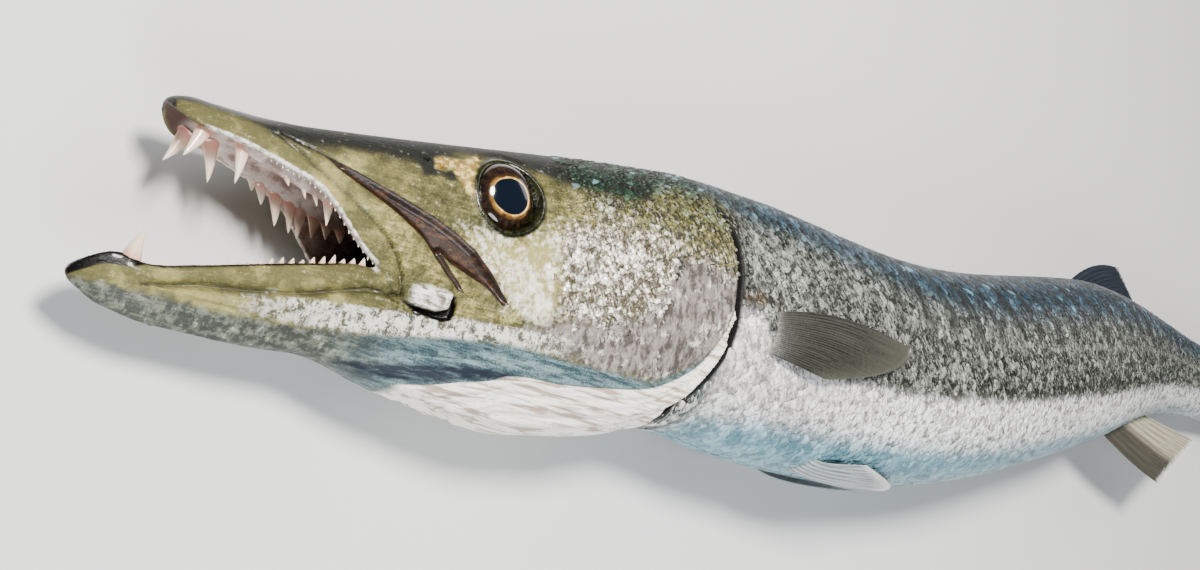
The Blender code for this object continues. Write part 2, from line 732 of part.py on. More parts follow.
# Lay a straight mesh along the bent axis, on the floor, in metres
def layInPose(obj, axis):
    stations, places, ahead, dorsal, left = axis
    mesh = obj.data
    points = np.empty(len(mesh.vertices) * 3)
    mesh.vertices.foreach_get("co", points)
    points = points.reshape(-1, 3)
    s = points[:, 0]

    def along(table):
        return np.stack([np.interp(s, stations, table[:, k]) for k in range(3)], 1)

    over = np.minimum(s, 0)[:, None] * ahead[0]
    laid = along(places) + over + points[:, 1:2] * along(dorsal) + points[:, 2:3] * along(left)
    laid[:, 2] = np.maximum(laid[:, 2], REST_LEVEL)
    mesh.vertices.foreach_set("co", (laid * CM).ravel())
    mesh.update()


# Move everything so that the middle of the fish's box, at the floor, is the origin
def centreOnFloor(objects):
    corners = np.array([v.co for obj in objects for v in obj.data.vertices])
    low, high = corners.min(0), corners.max(0)
    shift = Vector((-(low[0] + high[0]) / 2, -(low[1] + high[1]) / 2, -low[2]))
    for obj in objects:
        obj.data.transform(Matrix.Translation(shift))


def paint(obj):
    for key, (colour, roughness, metallic) in COLOURS.items():
        if key in obj.name:
            material = bpy.data.materials.new(obj.name)
            material.use_nodes = True
            surface = material.node_tree.nodes["Principled BSDF"]
            surface.inputs["Base Color"].default_value = (*colour, 1)
            surface.inputs["Roughness"].default_value = roughness
            surface.inputs["Metallic"].default_value = metallic
            material.diffuse_color = (*colour, 1)
            obj.data.materials.clear()
            obj.data.materials.append(material)
            return


def main():
    head, upperJaw = makeHead()
    fuse(head, palateTeeth())
    makeJaws(upperJaw)
    makeThroat()
    makeGillCover("gill_cover_left", 1)
    makeGillCover("gill_cover_right", -1)
    for name, side in (("eye_left", 1), ("eye_right", -1)):
        ball(name, eyeCentre(side), (EYE_RADIUS, EYE_RADIUS, EYE_DEPTH))
    makeTrunkFront()
    first, second, third = TRUNK_JOINTS
    makeTrunkLength("trunk_middle", first, second, 7)
    makeTrunkLength("trunk_rear", second, third, 8)
    makeTrunkLength("tail_stalk", third, STALK_END + GAP / 2, 9)
    makeMedianFins()
    makeCaudalFin()
    makePairedFins()
    axis = bentAxis()
    objects = list(fish.objects)
    for obj in objects:
        layInPose(obj, axis)
    centreOnFloor(objects)
    for obj in objects:
        paint(obj)


for old in list(bpy.data.objects):
    bpy.data.objects.remove(old)
fish = bpy.data.collections.new("barracuda")
bpy.context.scene.collection.children.link(fish)
main()
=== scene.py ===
import math

import bpy
import numpy as np
from mathutils import Matrix, Vector


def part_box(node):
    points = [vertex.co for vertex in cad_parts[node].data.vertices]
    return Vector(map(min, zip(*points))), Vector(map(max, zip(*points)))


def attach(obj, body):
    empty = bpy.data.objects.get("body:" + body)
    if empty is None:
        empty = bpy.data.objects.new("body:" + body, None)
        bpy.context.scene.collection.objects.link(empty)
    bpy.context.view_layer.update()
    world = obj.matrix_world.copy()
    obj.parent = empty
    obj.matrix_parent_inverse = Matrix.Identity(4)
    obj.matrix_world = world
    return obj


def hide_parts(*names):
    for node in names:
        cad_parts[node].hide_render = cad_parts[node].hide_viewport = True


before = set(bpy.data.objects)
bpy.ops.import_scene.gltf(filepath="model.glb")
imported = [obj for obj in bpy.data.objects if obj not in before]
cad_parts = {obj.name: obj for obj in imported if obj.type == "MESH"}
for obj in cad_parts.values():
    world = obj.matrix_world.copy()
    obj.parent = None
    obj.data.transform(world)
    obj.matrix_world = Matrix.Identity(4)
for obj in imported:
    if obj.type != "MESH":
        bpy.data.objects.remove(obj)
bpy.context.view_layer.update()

# Great barracuda lying on its right side. The fish is made straight, in centimetres:
# along runs from the lower jaw's tip to the tail, up to the back, out to a flank.
# layDown() then bends it, lowers it to the floor and turns it to metres.

cm = 0.01
draw = np.random.default_rng(11)


def curve(*points):
    x, y = np.array(points, float).T
    step = np.diff(x)
    slope = np.diff(y) / step
    tangent = np.zeros(len(x))
    tangent[0], tangent[-1] = slope[0], slope[-1]
    for i in range(1, len(x) - 1):
        before, after = slope[i - 1], slope[i]
        if before * after > 0:
            near, far = 2 * step[i] + step[i - 1], step[i] + 2 * step[i - 1]
            tangent[i] = (near + far) / (near / before + far / after)

    def at(s):
        s = np.clip(s, x[0], x[-1])
        i = np.clip(np.searchsorted(x, s, side="right") - 1, 0, len(step) - 1)
        t = (s - x[i]) / step[i]
        return (y[i] * (1 + 2 * t) * (1 - t) ** 2 + y[i + 1] * t * t * (3 - 2 * t)
                + step[i] * t * (1 - t) * (tangent[i] * (1 - t) - tangent[i + 1] * t))

    return at


def smooth(low, high, x):
    t = np.clip((x - low) / (high - low), 0, 1)
    return t * t * (3 - 2 * t)


def bulge(away, width):
    return np.exp(-(away / width) ** 2)


def onceRound(count):
    return np.linspace(0, 2 * np.pi, count, endpoint=False)


# Outline of the body: height of the back, depth of the belly, half width
back = curve(
    (2.5, 1.72), (4.1, 1.72), (6, 1.78), (8, 1.98), (10.6, 2.5), (15.9, 3.64), (21.2, 4.79),
    (26.5, 5.84), (31.8, 6.72), (37.1, 7), (42.4, 6.85), (53, 6.45), (63.6, 6.2), (74.2, 5.98),
    (79.5, 5.34), (84.8, 4.51), (90.1, 3.79), (95.4, 3.3), (100.7, 3.09), (106, 2.98), (108, 3.1))
belly = curve(
    (0, 8.3), (10, 8.35), (13.7, 8.55), (18.7, 9.05), (21.6, 9.25), (25.1, 8.75), (27.6, 8.2),
    (30.2, 7.3), (32.5, 7.15), (37.1, 7.57), (42.4, 7.66), (53, 7.29), (63.6, 6.65), (74.2, 5.9),
    (79.5, 5.18), (84.8, 4.36), (90.1, 3.71), (95.4, 3.28), (100.7, 3.07), (106, 2.98), (108, 3.1))
breadth = curve(
    (0, 1), (2.5, 1.25), (5.3, 1.62), (10.6, 2.35), (15.9, 3.22), (21.2, 3.98), (26.5, 4.61),
    (31.8, 5.06), (37.1, 5.48), (42.4, 5.79), (53, 6), (58.3, 5.86), (63.6, 5.57), (68.9, 5.21),
    (74.2, 4.72), (79.5, 4.06), (84.8, 3.32), (90.1, 2.74), (95.4, 2.25), (100.7, 1.84), (106, 1.35),
    (108, 0.7))
upperFullness = curve((0, 2.4), (26, 2.4), (36, 2.2), (108, 2.2))
lowerFullness = curve((0, 3), (26, 3), (34, 2.2), (108, 2.2))
foreheadDish = curve((8, 0), (12, 0.12), (18, 0.26), (22, 0.14), (26, 0))

# Mouth and gill cover
upperLip = curve(
    (2.5, 0.7), (3.7, 0.25), (5.6, 0), (7.5, -0.4), (9.5, -1), (10.6, -1.9), (11.7, -3), (13.1, -4.05),
    (14, -5), (14.8, -5.2), (17, -5.35), (19.5, -5.85), (22, -6.5), (25.3, -6.9))
mouthRoof = curve(
    (2.5, 0.95), (5, 0.6), (7, 0.38), (9, 0.32), (11, 0.15), (13, -0.15), (16, -0.9), (19, -2.3),
    (21, -4.2), (22.6, -6), (23.4, -6.7), (25.3, -6.9))
lowerLip = curve(
    (0, -6), (1.5, -5.85), (2.3, -6.05), (2.9, -6.1), (4.9, -5.65), (6.6, -5.15), (10.1, -4.2),
    (12, -3.8), (19.5, -3.8))
jawUnderside = curve(
    (0, -8.12), (1.5, -8.15), (3.7, -8.45), (5.9, -8.4), (8.2, -8.3), (10.2, -8.1), (15, -7.45),
    (17.6, -7.05), (19.5, -6.85))
floorDrop = curve(
    (0, 0.3), (2, 0.4), (4, 0.9), (8, 1.3), (12, 1.6), (14.5, 0.9), (19.5, 0.5))
throatNarrowing = curve((10, 0.5), (19.5, 1), (30, 1))
gillEdge = curve(
    (-90, 30.2), (-60, 30.4), (-50, 30.9), (-40, 31.5), (-25, 32.2), (-10, 32.5), (5, 32.5),
    (14, 32.35), (25, 32), (35, 31.2), (42, 29.9))

body = {
    "stalkEnd": 107.6, "hollow": 0.25, "hollowAt": 34.8, "hollowLength": 2, "coverTop": 41,
    "coverBottom": -45, "coverHinge": 24.4, "slit": 0.38, "coatDepth": 0.09, "restLevel": -3.2}
tips = {"snout": {"start": 2.5, "length": 1.3, "centre": 1.2, "power": 2},
        "jaw": {"start": -0.15, "length": 1.9, "centre": -7.05, "power": 1.6}}
tipSteps = (0.01, 0.04, 0.1, 0.2, 0.35, 0.55, 0.8)
eye = {"along": 18.6, "up": 1.2, "radius": 1.72, "depth": 0.95, "proud": 0.12}

# Pose: bend seen from the side and droop towards the floor, in degrees
bend = curve(
    (0, -7.5), (32.9, -7.5), (42.4, -6.44), (53, 2.35), (63.6, 8.22), (76.3, 7.24), (89, 0.44),
    (106, -4.31), (126, -4.31))
droop = curve(
    (0, 3.4), (32.9, 3.4), (42.4, 2.2), (53, 0.6), (63.6, -1.2), (76.3, -4.5), (89, -6), (106, -6.5),
    (126, -7.6))


def halfWidth(s):
    return breadth(s) - body["hollow"] * bulge(s - body["hollowAt"], body["hollowLength"])


def skinAt(s, degrees, sideInset=0, underInset=0):
    s, degrees = np.broadcast_arrays(np.asarray(s, float), np.asarray(degrees, float))
    t = np.radians(degrees)
    across, rise = np.abs(np.cos(t)), np.abs(np.sin(t))
    isUpper = degrees >= 0
    power = 2 / np.where(isUpper, upperFullness(s), lowerFullness(s))
    width = (halfWidth(s) - sideInset) * across ** power
    dish = foreheadDish(s) * np.exp(-width * width)
    height = np.where(isUpper, back(s) * rise ** power - dish,
                      -(belly(s) - underInset) * rise ** power)
    return np.stack([s, height, width], -1)


def angleAt(s, height):
    s, height = np.broadcast_arrays(np.asarray(s, float), np.asarray(height, float))
    up = np.arcsin(np.clip(height / back(s), 0, 1) ** (upperFullness(s) / 2))
    down = np.arcsin(np.clip(-height / belly(s), 0, 1) ** (lowerFullness(s) / 2))
    return np.degrees(np.where(height >= 0, up, -down))


def widthAt(s, height):
    return skinAt(s, angleAt(s, height))[..., 2]


# How far the rounded tip of snout or jaw has grown to its full girth
def tipGrowth(s, part):
    tip = tips[part]
    x = np.clip((s - tip["start"]) / tip["length"], 0, 1)
    return (1 - (1 - x) ** tip["power"]) ** (1 / tip["power"])


def roundTip(half, s, part):
    growth = tipGrowth(s, part)
    centre = tips[part]["centre"]
    half[:, 1] = centre + (half[:, 1] - centre) * growth
    half[:, 2] *= growth
    return half


# The bent axis and its directions, in short steps
axisStep = 0.25
axisAt = np.arange(0, 130 + axisStep, axisStep)
turn, fall = np.radians(bend(axisAt)), np.radians(droop(axisAt))
ahead = np.stack([np.cos(turn) * np.cos(fall), np.sin(turn) * np.cos(fall), np.sin(fall)], 1)
leftward = np.stack([-np.cos(turn) * np.sin(fall), -np.sin(turn) * np.sin(fall), np.cos(fall)], 1)
backward = np.cross(leftward, ahead)
places = np.zeros((len(axisAt), 3))
places[1:] = np.cumsum((ahead[1:] + ahead[:-1]) / 2 * axisStep, 0)


def bendAlong(points):
    s = points[:, 0]

    def along(table):
        return np.stack([np.interp(s, axisAt, table[:, k]) for k in range(3)], 1)

    laid = along(places) + np.minimum(s, 0)[:, None] * ahead[0]
    laid += points[:, 1:2] * along(backward) + points[:, 2:3] * along(leftward)
    laid[:, 2] = np.maximum(laid[:, 2], body["restLevel"])
    return laid * cm


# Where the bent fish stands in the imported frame, found from the left eye
eyeOut = widthAt(eye["along"], eye["up"]) + eye["proud"] - eye["depth"]
eyeSpot = bendAlong(np.array([[eye["along"], eye["up"], eyeOut]]))[0]
frameShift = np.mean(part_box("eye_left"), 0) - eyeSpot
print("frame shift", np.round(frameShift, 5))


def layDown(points):
    laid = bendAlong(points) + frameShift
    laid[:, 2] = np.maximum(laid[:, 2], 0)
    return laid


# Distance from a line of points, and how far along it
def nearLine(s, d, line):
    best = np.full(s.shape, 1e9)
    share = np.zeros(s.shape)
    line = np.array(line, float)
    lengths = np.concatenate([[0], np.cumsum(np.hypot(*np.diff(line, axis=0).T))])
    for i in range(len(line) - 1):
        a, b = line[i], line[i + 1]
        step = b - a
        t = np.clip(((s - a[0]) * step[0] + (d - a[1]) * step[1]) / (step @ step), 0, 1)
        gap = np.hypot(s - a[0] - t * step[0], d - a[1] - t * step[1])
        closer = gap < best
        best = np.where(closer, gap, best)
        here = (lengths[i] + t * (lengths[i + 1] - lengths[i])) / lengths[-1]
        share = np.where(closer, here, share)
    return best, share


def insideShape(s, d, outline):
    inside = np.zeros(s.shape, bool)
    outline = np.array(outline, float)
    for (x1, y1), (x2, y2) in zip(outline, np.roll(outline, -1, 0)):
        crosses = (y1 > d) != (y2 > d)
        if y1 != y2:
            inside ^= crosses & (s < (x2 - x1) * (d - y1) / (y2 - y1) + x1)
    return inside


# Distance inside an outline, negative outside it
def depthInside(s, d, outline):
    gap = nearLine(s, d, [*outline, outline[0]])[0]
    return np.where(insideShape(s, d, outline), gap, -gap)


# Lines and patches of the face, as (along, up)
jawSeam = [
    (7, 1), (8, 0.5), (8.8, 0), (10, -0.6), (11, -1.15), (12, -1.75), (12.8, -2.35), (13.4, -3.1),
    (13.75, -3.8), (13.95, -4.7)]
grooveStart = [(7.4, 1.05), (8.3, 0.78), (9.3, 0.58), (10.2, 0.35)]
maxillaShape = [
    (7.3, 0.9), (9.5, 0.4), (11, -0.3), (12.5, -0.85), (13.6, -1.4), (14.6, -2), (15.3, -2.75),
    (16.1, -3.55), (16.5, -4.1), (16.35, -4.85), (15.8, -5.08), (14.6, -5.08), (14, -4.85), (13.85, -4),
    (13.4, -3.1), (12.8, -2.35), (12, -1.75), (10.5, -0.85), (9, -0.1), (8, 0.45)]
pearlShape = [
    (14.2, -4.3), (14.6, -3.95), (16, -3.95), (16.4, -4.15), (16.3, -4.85), (15.8, -5.06),
    (14.6, -5.06), (14.02, -4.86)]
plateShadow = [
    (13.95, -4.95), (14.6, -5.1), (15.8, -5.1), (16.33, -4.87), (16.45, -4.1), (16.62, -4.2),
    (16.75, -4.8), (16.65, -5.35), (16.2, -5.5), (15.2, -5.38), (14.4, -5.15)]
grooveShape = [
    (9.4, 0.6), (11, 0.22), (13, -0.28), (15, -0.85), (16.3, -1.38), (17.2, -1.85), (18.1, -2.6),
    (19.35, -3.95), (19, -4.05), (18, -3.4), (17, -3.08), (16, -2.75), (15.45, -2.4), (16, -2.95),
    (16.6, -3.5), (17, -3.98), (16.6, -3.85), (16, -3.35), (15.1, -2.55), (14.2, -1.75), (13, -1.1),
    (12, -0.62), (11, -0.25), (10, 0.12)]
# Painted shade in the fold below the lower jaw
creaseShadeOutline = [
    (12, -8.05), (15, -7.65), (18, -7.1), (20.2, -6.95), (21.3, -6.98), (19.5, -7.42), (17.5, -7.88),
    (16.2, -8.25), (14, -8.3)]
operculum = [
    (20.5, -4.75), (23, -3.95), (25.5, -3.35), (27.3, -2.25), (28, -1), (28.4, 0.8), (30, 1.1),
    (32, 0.9), (32.9, 0), (32.7, -1.8), (31.3, -4), (29.7, -5.1), (28, -5.7), (24, -5.75), (20.5, -5.4)]
cheekShape = [
    (21.5, 0.4), (21.9, -3.3), (23, -3.85), (25.5, -3.25), (27.2, -2.1), (27.9, -0.8), (28.3, 1.3),
    (26, 1.5), (24, 1.1), (22.3, 0.8)]
glowShape = [
    (16.6, -1), (17.6, -0.85), (19.2, -0.85), (20.6, -0.1), (22, 0.6), (22.2, -3.2), (21.3, -4.4),
    (19.6, -4.15), (18.3, -2.8), (17.5, -2)]
noseGold = [
    (14.7, 1.55), (14.7, 2.1), (15.2, 2.25), (16.2, 2.35), (17.1, 3), (17, 2.3), (16.6, 1.4),
    (16.9, 0.6), (16.3, 0.8), (15.9, 1.3), (15.5, 1.8), (15, 1.6)]
noseDark = [
    (13.6, 2.1), (14.1, 0.95), (14.9, 1.2), (15.5, 1.05), (15.95, 1.3), (15.5, 1.75), (15.1, 1.5),
    (14.75, 1.5), (14.65, 2.2), (15.2, 2.35), (15, 2.9), (14, 3)]
cheekRidge = [(28.4, 1.2), (28.2, -0.6), (27.4, -2.15), (25.5, -3.3), (23, -3.9), (21, -4.6)]
coverRidge = [(24, -4.6), (26, -4.3), (27.6, -3.2), (28.2, -1.6), (28.4, -0.3)]
lipFold = [
    (2.8, -7), (4, -6.75), (5, -6.5), (7, -6.2), (9, -5.85), (10, -5.6), (11.2, -5.2), (12.4, -4.87),
    (13.8, -4.82)]
nostrils = ((14.95, 1.78, 0.22), (14.3, 1.9, 0.12))

# Edges between colours, as heights along the fish
duskEdge = curve(
    (2.5, 1.2), (4, 1.25), (6, 1.1), (7, 0.8), (8, 0.65), (10, 0.95), (12, 1.25), (14, 1.45),
    (15.3, 2.2), (16.5, 2.75), (18.6, 2.95), (21.5, 2.75), (25, 2.9), (26.5, 3.3), (27.5, 4.3),
    (29, 4.8), (31, 4.8), (32.5, 4.6), (34, 4.5), (40, 4.2), (50, 3.3), (60, 3), (70, 2.9), (80, 2.3),
    (90, 1.3), (107, 1))
duskFade = curve((4, 0.35), (10, 0.8), (20, 0.85), (26, 0.9), (34, 1.8), (50, 2.4), (107, 1.5))
brightEdge = curve(
    (31, -0.7), (34, -0.8), (36, -2.6), (45, -2.85), (50, -2.5), (60, -2.4), (70, -2.6), (80, -2.3),
    (90, -1.7), (107, -1))
bellyEdge = curve(
    (31, -6.6), (36, -6.1), (42, -5.75), (50, -5.35), (60, -5.15), (70, -4.9), (80, -4.4), (90, -3.3),
    (107, -2.8))
sideLine = curve((33, 3.6), (38, 2.9), (44, 2), (50, 1.45), (60, 1), (80, 0.5), (107, 0))
slateEdge = curve(
    (0, -7.3), (6, -7.3), (10, -7.1), (14, -6.6), (18, -5.95), (20, -5.75), (24, -5.8), (28, -5.75),
    (29.5, -5.1), (30.8, -4.2), (31.6, -3.3), (32.4, -2))
membraneTop = curve(
    (8, -8.6), (14, -8.5), (16.4, -8.3), (18, -7.88), (19.5, -7.5), (20.2, -7.15), (21.2, -7),
    (22.5, -6.97), (25, -6.65), (28, -6.12), (29.5, -5.5), (30.8, -4.5), (32, -2.4), (32.6, -0.6))
chalkEdge = curve(
    (6, -6.4), (9, -6), (13, -5.6), (17, -5.15), (19.5, -4.95), (22, -4.7), (24, -4.6))
tipEdge = curve((-0.2, -7.35), (0.5, -6.9), (1.2, -6.55), (2, -6.45), (3, -6.15))


def within(s, d, outline, soft=0.12):
    return smooth(-soft, soft, depthInside(s, d, outline))


# Half width of the outside, with the rounded tips of snout and jaw
def outsideWidth(s, d):
    isHead = d > -3
    grown = np.where(isHead, tipGrowth(s, "snout"), tipGrowth(s, "jaw"))
    centre = np.where(isHead, tips["snout"]["centre"], tips["jaw"]["centre"])
    return grown * widthAt(s, centre + (d - centre) / np.maximum(grown, 0.05))


def mouthInside(s, d, w):
    lip = lowerLip(s)
    rim = 0.92 * widthAt(s, lip) * tipGrowth(s, "jaw")
    inJaw = smooth(0.12, 0.3, rim - w) * smooth(-0.3, -0.15, d - lip + floorDrop(s))
    above = smooth(0.16, 0.42, outsideWidth(s, d) - w) * (d < mouthRoof(s) + 0.25)
    above *= (s < 14.5) | (d > upperLip(s) - 0.2)
    inside = np.where((d < lip + 0.08) & (s < 15.5), inJaw, above)
    return inside * ((s < 24.5) & (d > jawUnderside(s) + 0.2))


# Soft-edged patches, and lines of painted shade along the seams and folds, with their half width and
# strength
patches = {
    "brown": (grooveShape, 0.07), "crease": (creaseShadeOutline, 0.3), "plate": (operculum, 0.8),
    "cheek": (cheekShape, 1.2), "glow": (glowShape, 1.1), "nose": (noseGold, 0.28)}
shadeLines = ((jawSeam, 0.13, 0.6), (lipFold, 0.17, 0.6), (grooveStart, 0.12, 0.75))


# Black of the lips, jaw tip and snout, painted shade along the seams and folds, and the painted shadow
# under the upper jaw's end plate
def darkParts(s, d):
    lips = smooth(0.16, 0.07, np.abs(d - lowerLip(s))) * smooth(12.5, 10, s)
    jawTip = smooth(-0.12, 0.12, d - tipEdge(s)) * smooth(3.2, 2.6, s)
    snout = np.maximum(smooth(2.95, 2.65, s), smooth(1.15, 1.4, d) * smooth(8, 6, s))
    black = np.maximum(np.maximum(lips, jawTip) * (d < -3), snout * (d > -2))
    for line, width, strength in shadeLines:
        black = np.maximum(black, strength * smooth(width, 0.3 * width, nearLine(s, d, line)[0]))
    return np.maximum(black, within(s, d, plateShadow, 0.06))


# Marks that skin and scales share, from a point's place on the straight fish
def markings(points):
    s, d, w = points.T
    tail = smooth(31.5, 33.2, s)
    behind = s - gillEdge(angleAt(s, d))
    aboveLip = d - upperLip(s)
    mark = {name: within(s, d, outline, soft) for name, (outline, soft) in patches.items()}
    mark["dusk"] = np.maximum(smooth(-1, 1, (d - duskEdge(s)) / duskFade(s)),
                              0.85 * within(s, d, noseDark, 0.18))
    mark["bright"] = smooth(0.8, -0.6, d - brightEdge(s)) * tail
    mark["belly"] = smooth(1.2, -1.2, d - bellyEdge(s)) * tail
    mark["membrane"] = (smooth(0.06, -0.06, d - membraneTop(s)) * smooth(14, 17, s)
                        * smooth(0.2, 0, behind))
    mark["gum"] = (smooth(0.26, 0.12, aboveLip) * smooth(-0.4, -0.3, aboveLip)
                   * smooth(3.6, 4.6, s) * smooth(13.6, 11.5, s))
    mark["slate"] = smooth(0.35, -0.35, d - slateEdge(s)) * (1 - mark["membrane"]) * (1 - tail)
    mark["chalk"] = (smooth(0.2, -0.2, d - chalkEdge(s)) * (1 - mark["slate"])
                     * smooth(4, 12.5, s) * smooth(26, 19, s))
    # black marks, with painted shade along the seams and under the upper jaw's end plate
    mark["black"] = darkParts(s, d)
    # Painted shade in the gill slit behind the cover's edge, wider towards the top
    wide = 0.25 * smooth(-3, -1, d)
    mark["slit"] = smooth(-0.08, 0.08, behind) * smooth(0.6 + wide, 0.35 + wide, behind) * (d < 4.3)
    mark["pearl"] = within(s, d, pearlShape, 0.05) * smooth(13.9, 15, s) * smooth(-3.75, -4.5, d)
    mark["lid"] = smooth(2.05, 1.9, np.hypot(s - eye["along"], (d - eye["up"]) / 1.02))
    mark["rust"] = np.maximum(bulge(s - 34.2, 1.6) * bulge(d - 0.05, 0.42),
                              0.7 * bulge(s - 31, 0.6) * bulge(d - 2.7, 0.7))
    mark["line"] = bulge(d - sideLine(s), 0.16) * tail
    mark["band"] = bulge(d + 1.6, 0.5) * smooth(44, 52, s) * smooth(100, 80, s)
    inner = mouthInside(s, d, np.abs(w))
    mark = {name: np.clip(value * (1 - inner), 0, 1) for name, value in mark.items()}
    return {**mark, "inner": inner}


def addObject(name, data):
    obj = bpy.data.objects.new(name, data)
    bpy.context.scene.collection.objects.link(obj)
    return obj


# A mesh from arrays of points and faces
def meshFrom(name, points, faces, values=None):
    mesh = bpy.data.meshes.new(name)
    mesh.vertices.add(len(points))
    mesh.vertices.foreach_set("co", np.asarray(points, np.float32).ravel())
    sizes = np.concatenate([np.full(len(f), f.shape[1]) for f in faces])
    corners = np.concatenate([f.ravel() for f in faces])
    mesh.loops.add(len(corners))
    mesh.loops.foreach_set("vertex_index", corners.astype(np.int32))
    mesh.polygons.add(len(sizes))
    starts = np.concatenate([[0], np.cumsum(sizes)[:-1]]).astype(np.int32)
    mesh.polygons.foreach_set("loop_start", starts)
    mesh.polygons.foreach_set("use_smooth", np.ones(len(sizes), bool))
    mesh.update(calc_edges=True)
    mesh.validate()
    store(mesh, values or {})
    return addObject(name, mesh)


# Keep one number or vector for every point, for the shaders
def store(mesh, values):
    for key, value in values.items():
        value = np.asarray(value, np.float32)
        isVector = value.ndim == 2
        kept = mesh.attributes.new(key, "FLOAT_VECTOR" if isVector else "FLOAT", "POINT")
        kept.data.foreach_set("vector" if isVector else "value", value.ravel())


def gridFaces(rows, columns, wrap=False, start=0):
    i, j = np.meshgrid(np.arange(rows - 1), np.arange(columns if wrap else columns - 1),
                       indexing="ij")
    i, j = i.ravel(), j.ravel()
    k = (j + 1) % columns
    return start + np.stack([i * columns + j, i * columns + k, (i + 1) * columns + k,
                             (i + 1) * columns + j], 1)


def readVectors(mesh, key):
    values = np.empty(len(mesh.vertices) * 3, np.float32)
    mesh.vertices.foreach_get(key, values)
    return values.reshape(-1, 3).astype(float)


# Lay a straight piece's points down as the fish lies
def layMesh(mesh, points):
    mesh.vertices.foreach_set("co", layDown(points).astype(np.float32).ravel())
    mesh.update()


# The mesh with the piece's modifiers applied
def applied(obj):
    bpy.context.view_layer.update()
    return bpy.data.meshes.new_from_object(
        obj.evaluated_get(bpy.context.evaluated_depsgraph_get()))


# Turn a piece's faces outwards, by the sign of its volume
def faceOutward(obj):
    mesh = obj.data
    mesh.calc_loop_triangles()
    tris = np.empty(len(mesh.loop_triangles) * 3, np.int32)
    mesh.loop_triangles.foreach_get("vertices", tris)
    a, b, c = readVectors(mesh, "co")[tris.reshape(-1, 3)].transpose(1, 0, 2)
    if np.einsum("ij,ij->i", a, np.cross(b, c)).sum() < 0:
        mesh.flip_normals()
    return obj


# A closed piece through rings of points, with a face over each end
def tube(name, rings):
    count = len(rings[0])
    last = (len(rings) - 1) * count
    ends = [np.arange(count)[None, ::-1], last + np.arange(count)[None]]
    faces = [gridFaces(len(rings), count, wrap=True)] + ends
    return faceOutward(meshFrom(name, np.concatenate(rings), faces))


# The same from half rings, whose far side mirrors them
def shell(name, halves):
    return tube(name, [np.concatenate([h, h[-2:0:-1] * (1, 1, -1)]) for h in halves])


# A node's output that takes part in sums
class Link:
    def __init__(self, maker, socket):
        self.maker, self.socket = maker, socket

    def maths(self, operation, *others):
        return self.maker.node("ShaderNodeMath", {"operation": operation}, self, *others)

    def reflected(self, operation, other):
        return self.maker.node("ShaderNodeMath", {"operation": operation}, other, self)

    def __add__(self, other):
        return self.maths("ADD", other)

    def __radd__(self, other):
        return self.reflected("ADD", other)

    def __sub__(self, other):
        return self.maths("SUBTRACT", other)

    def __rsub__(self, other):
        return self.reflected("SUBTRACT", other)

    def __mul__(self, other):
        return self.maths("MULTIPLY", other)

    def __rmul__(self, other):
        return self.reflected("MULTIPLY", other)

    def __pow__(self, other):
        return self.maths("POWER", other)

    def most(self, other):
        return self.maths("MAXIMUM", other)


# A material and its nodes
class Finish:
    def __init__(self, name, **constants):
        self.material = bpy.data.materials.new(name)
        self.material.use_nodes = True
        self.tree = self.material.node_tree
        self.surface = self.tree.nodes["Principled BSDF"]
        self.fill(self.surface, constants)

    # Set or link sockets, by number or by name
    def fill(self, node, values):
        for key, value in values.items():
            socket = node.inputs[key if isinstance(key, int) else key.replace("_", " ")]
            if isinstance(value, Link):
                self.tree.links.new(value.socket, socket)
            elif value is not None:
                socket.default_value = value

    def node(self, kind, settings, *values, output=0, **named):
        node = self.tree.nodes.new(kind)
        for key, value in settings.items():
            setattr(node, key, value)
        self.fill(node, {**dict(enumerate(values)), **named})
        return Link(self, node.outputs[output])

    def attribute(self, name, output="Fac"):
        return self.node("ShaderNodeAttribute", {"attribute_name": name}, output=output)

    def noise(self, vector, scale, detail=3, roughness=0.55, distortion=0):
        return self.node("ShaderNodeTexNoise", {}, Vector=vector, Scale=scale, Detail=detail,
                         Roughness=roughness, Distortion=distortion)

    def stretch(self, vector, amounts):
        return self.node("ShaderNodeVectorMath", {"operation": "MULTIPLY"}, vector, amounts)

    def join(self, x, y):
        return self.node("ShaderNodeCombineXYZ", {}, x, y)

    def split(self, vector, axis):
        return self.node("ShaderNodeSeparateXYZ", {}, vector, output=axis)

    def span(self, value, low, high, first=0, last=1):
        return self.node("ShaderNodeMapRange", {"interpolation_type": "SMOOTHSTEP"}, value,
                         low, high, first, last)

    # Mix two colours, each a paint's name, three numbers or a link, in sockets 6 and 7
    def blend(self, factor, first, second):
        sides = [paints[c] if isinstance(c, str) else c for c in (first, second)]
        sides = [c if isinstance(c, Link) else (*c, 1) for c in sides]
        return self.node("ShaderNodeMix", {"data_type": "RGBA"}, factor, *[None] * 5, *sides,
                         output=2)

    def two(self, value, low, high, first, second):
        return self.blend(self.span(value, low, high), first, second)

    # Lay each paint over the colour through its mask
    def layers(self, colour, *pairs):
        for mask, paint in pairs:
            colour = self.blend(mask, colour, paint)
        return colour

    def bump(self, height, strength, distance):
        return self.node("ShaderNodeBump", {}, Height=height, Strength=strength,
                         Distance=distance)

    def wear(self, **links):
        self.fill(self.surface, links)
        return self.material


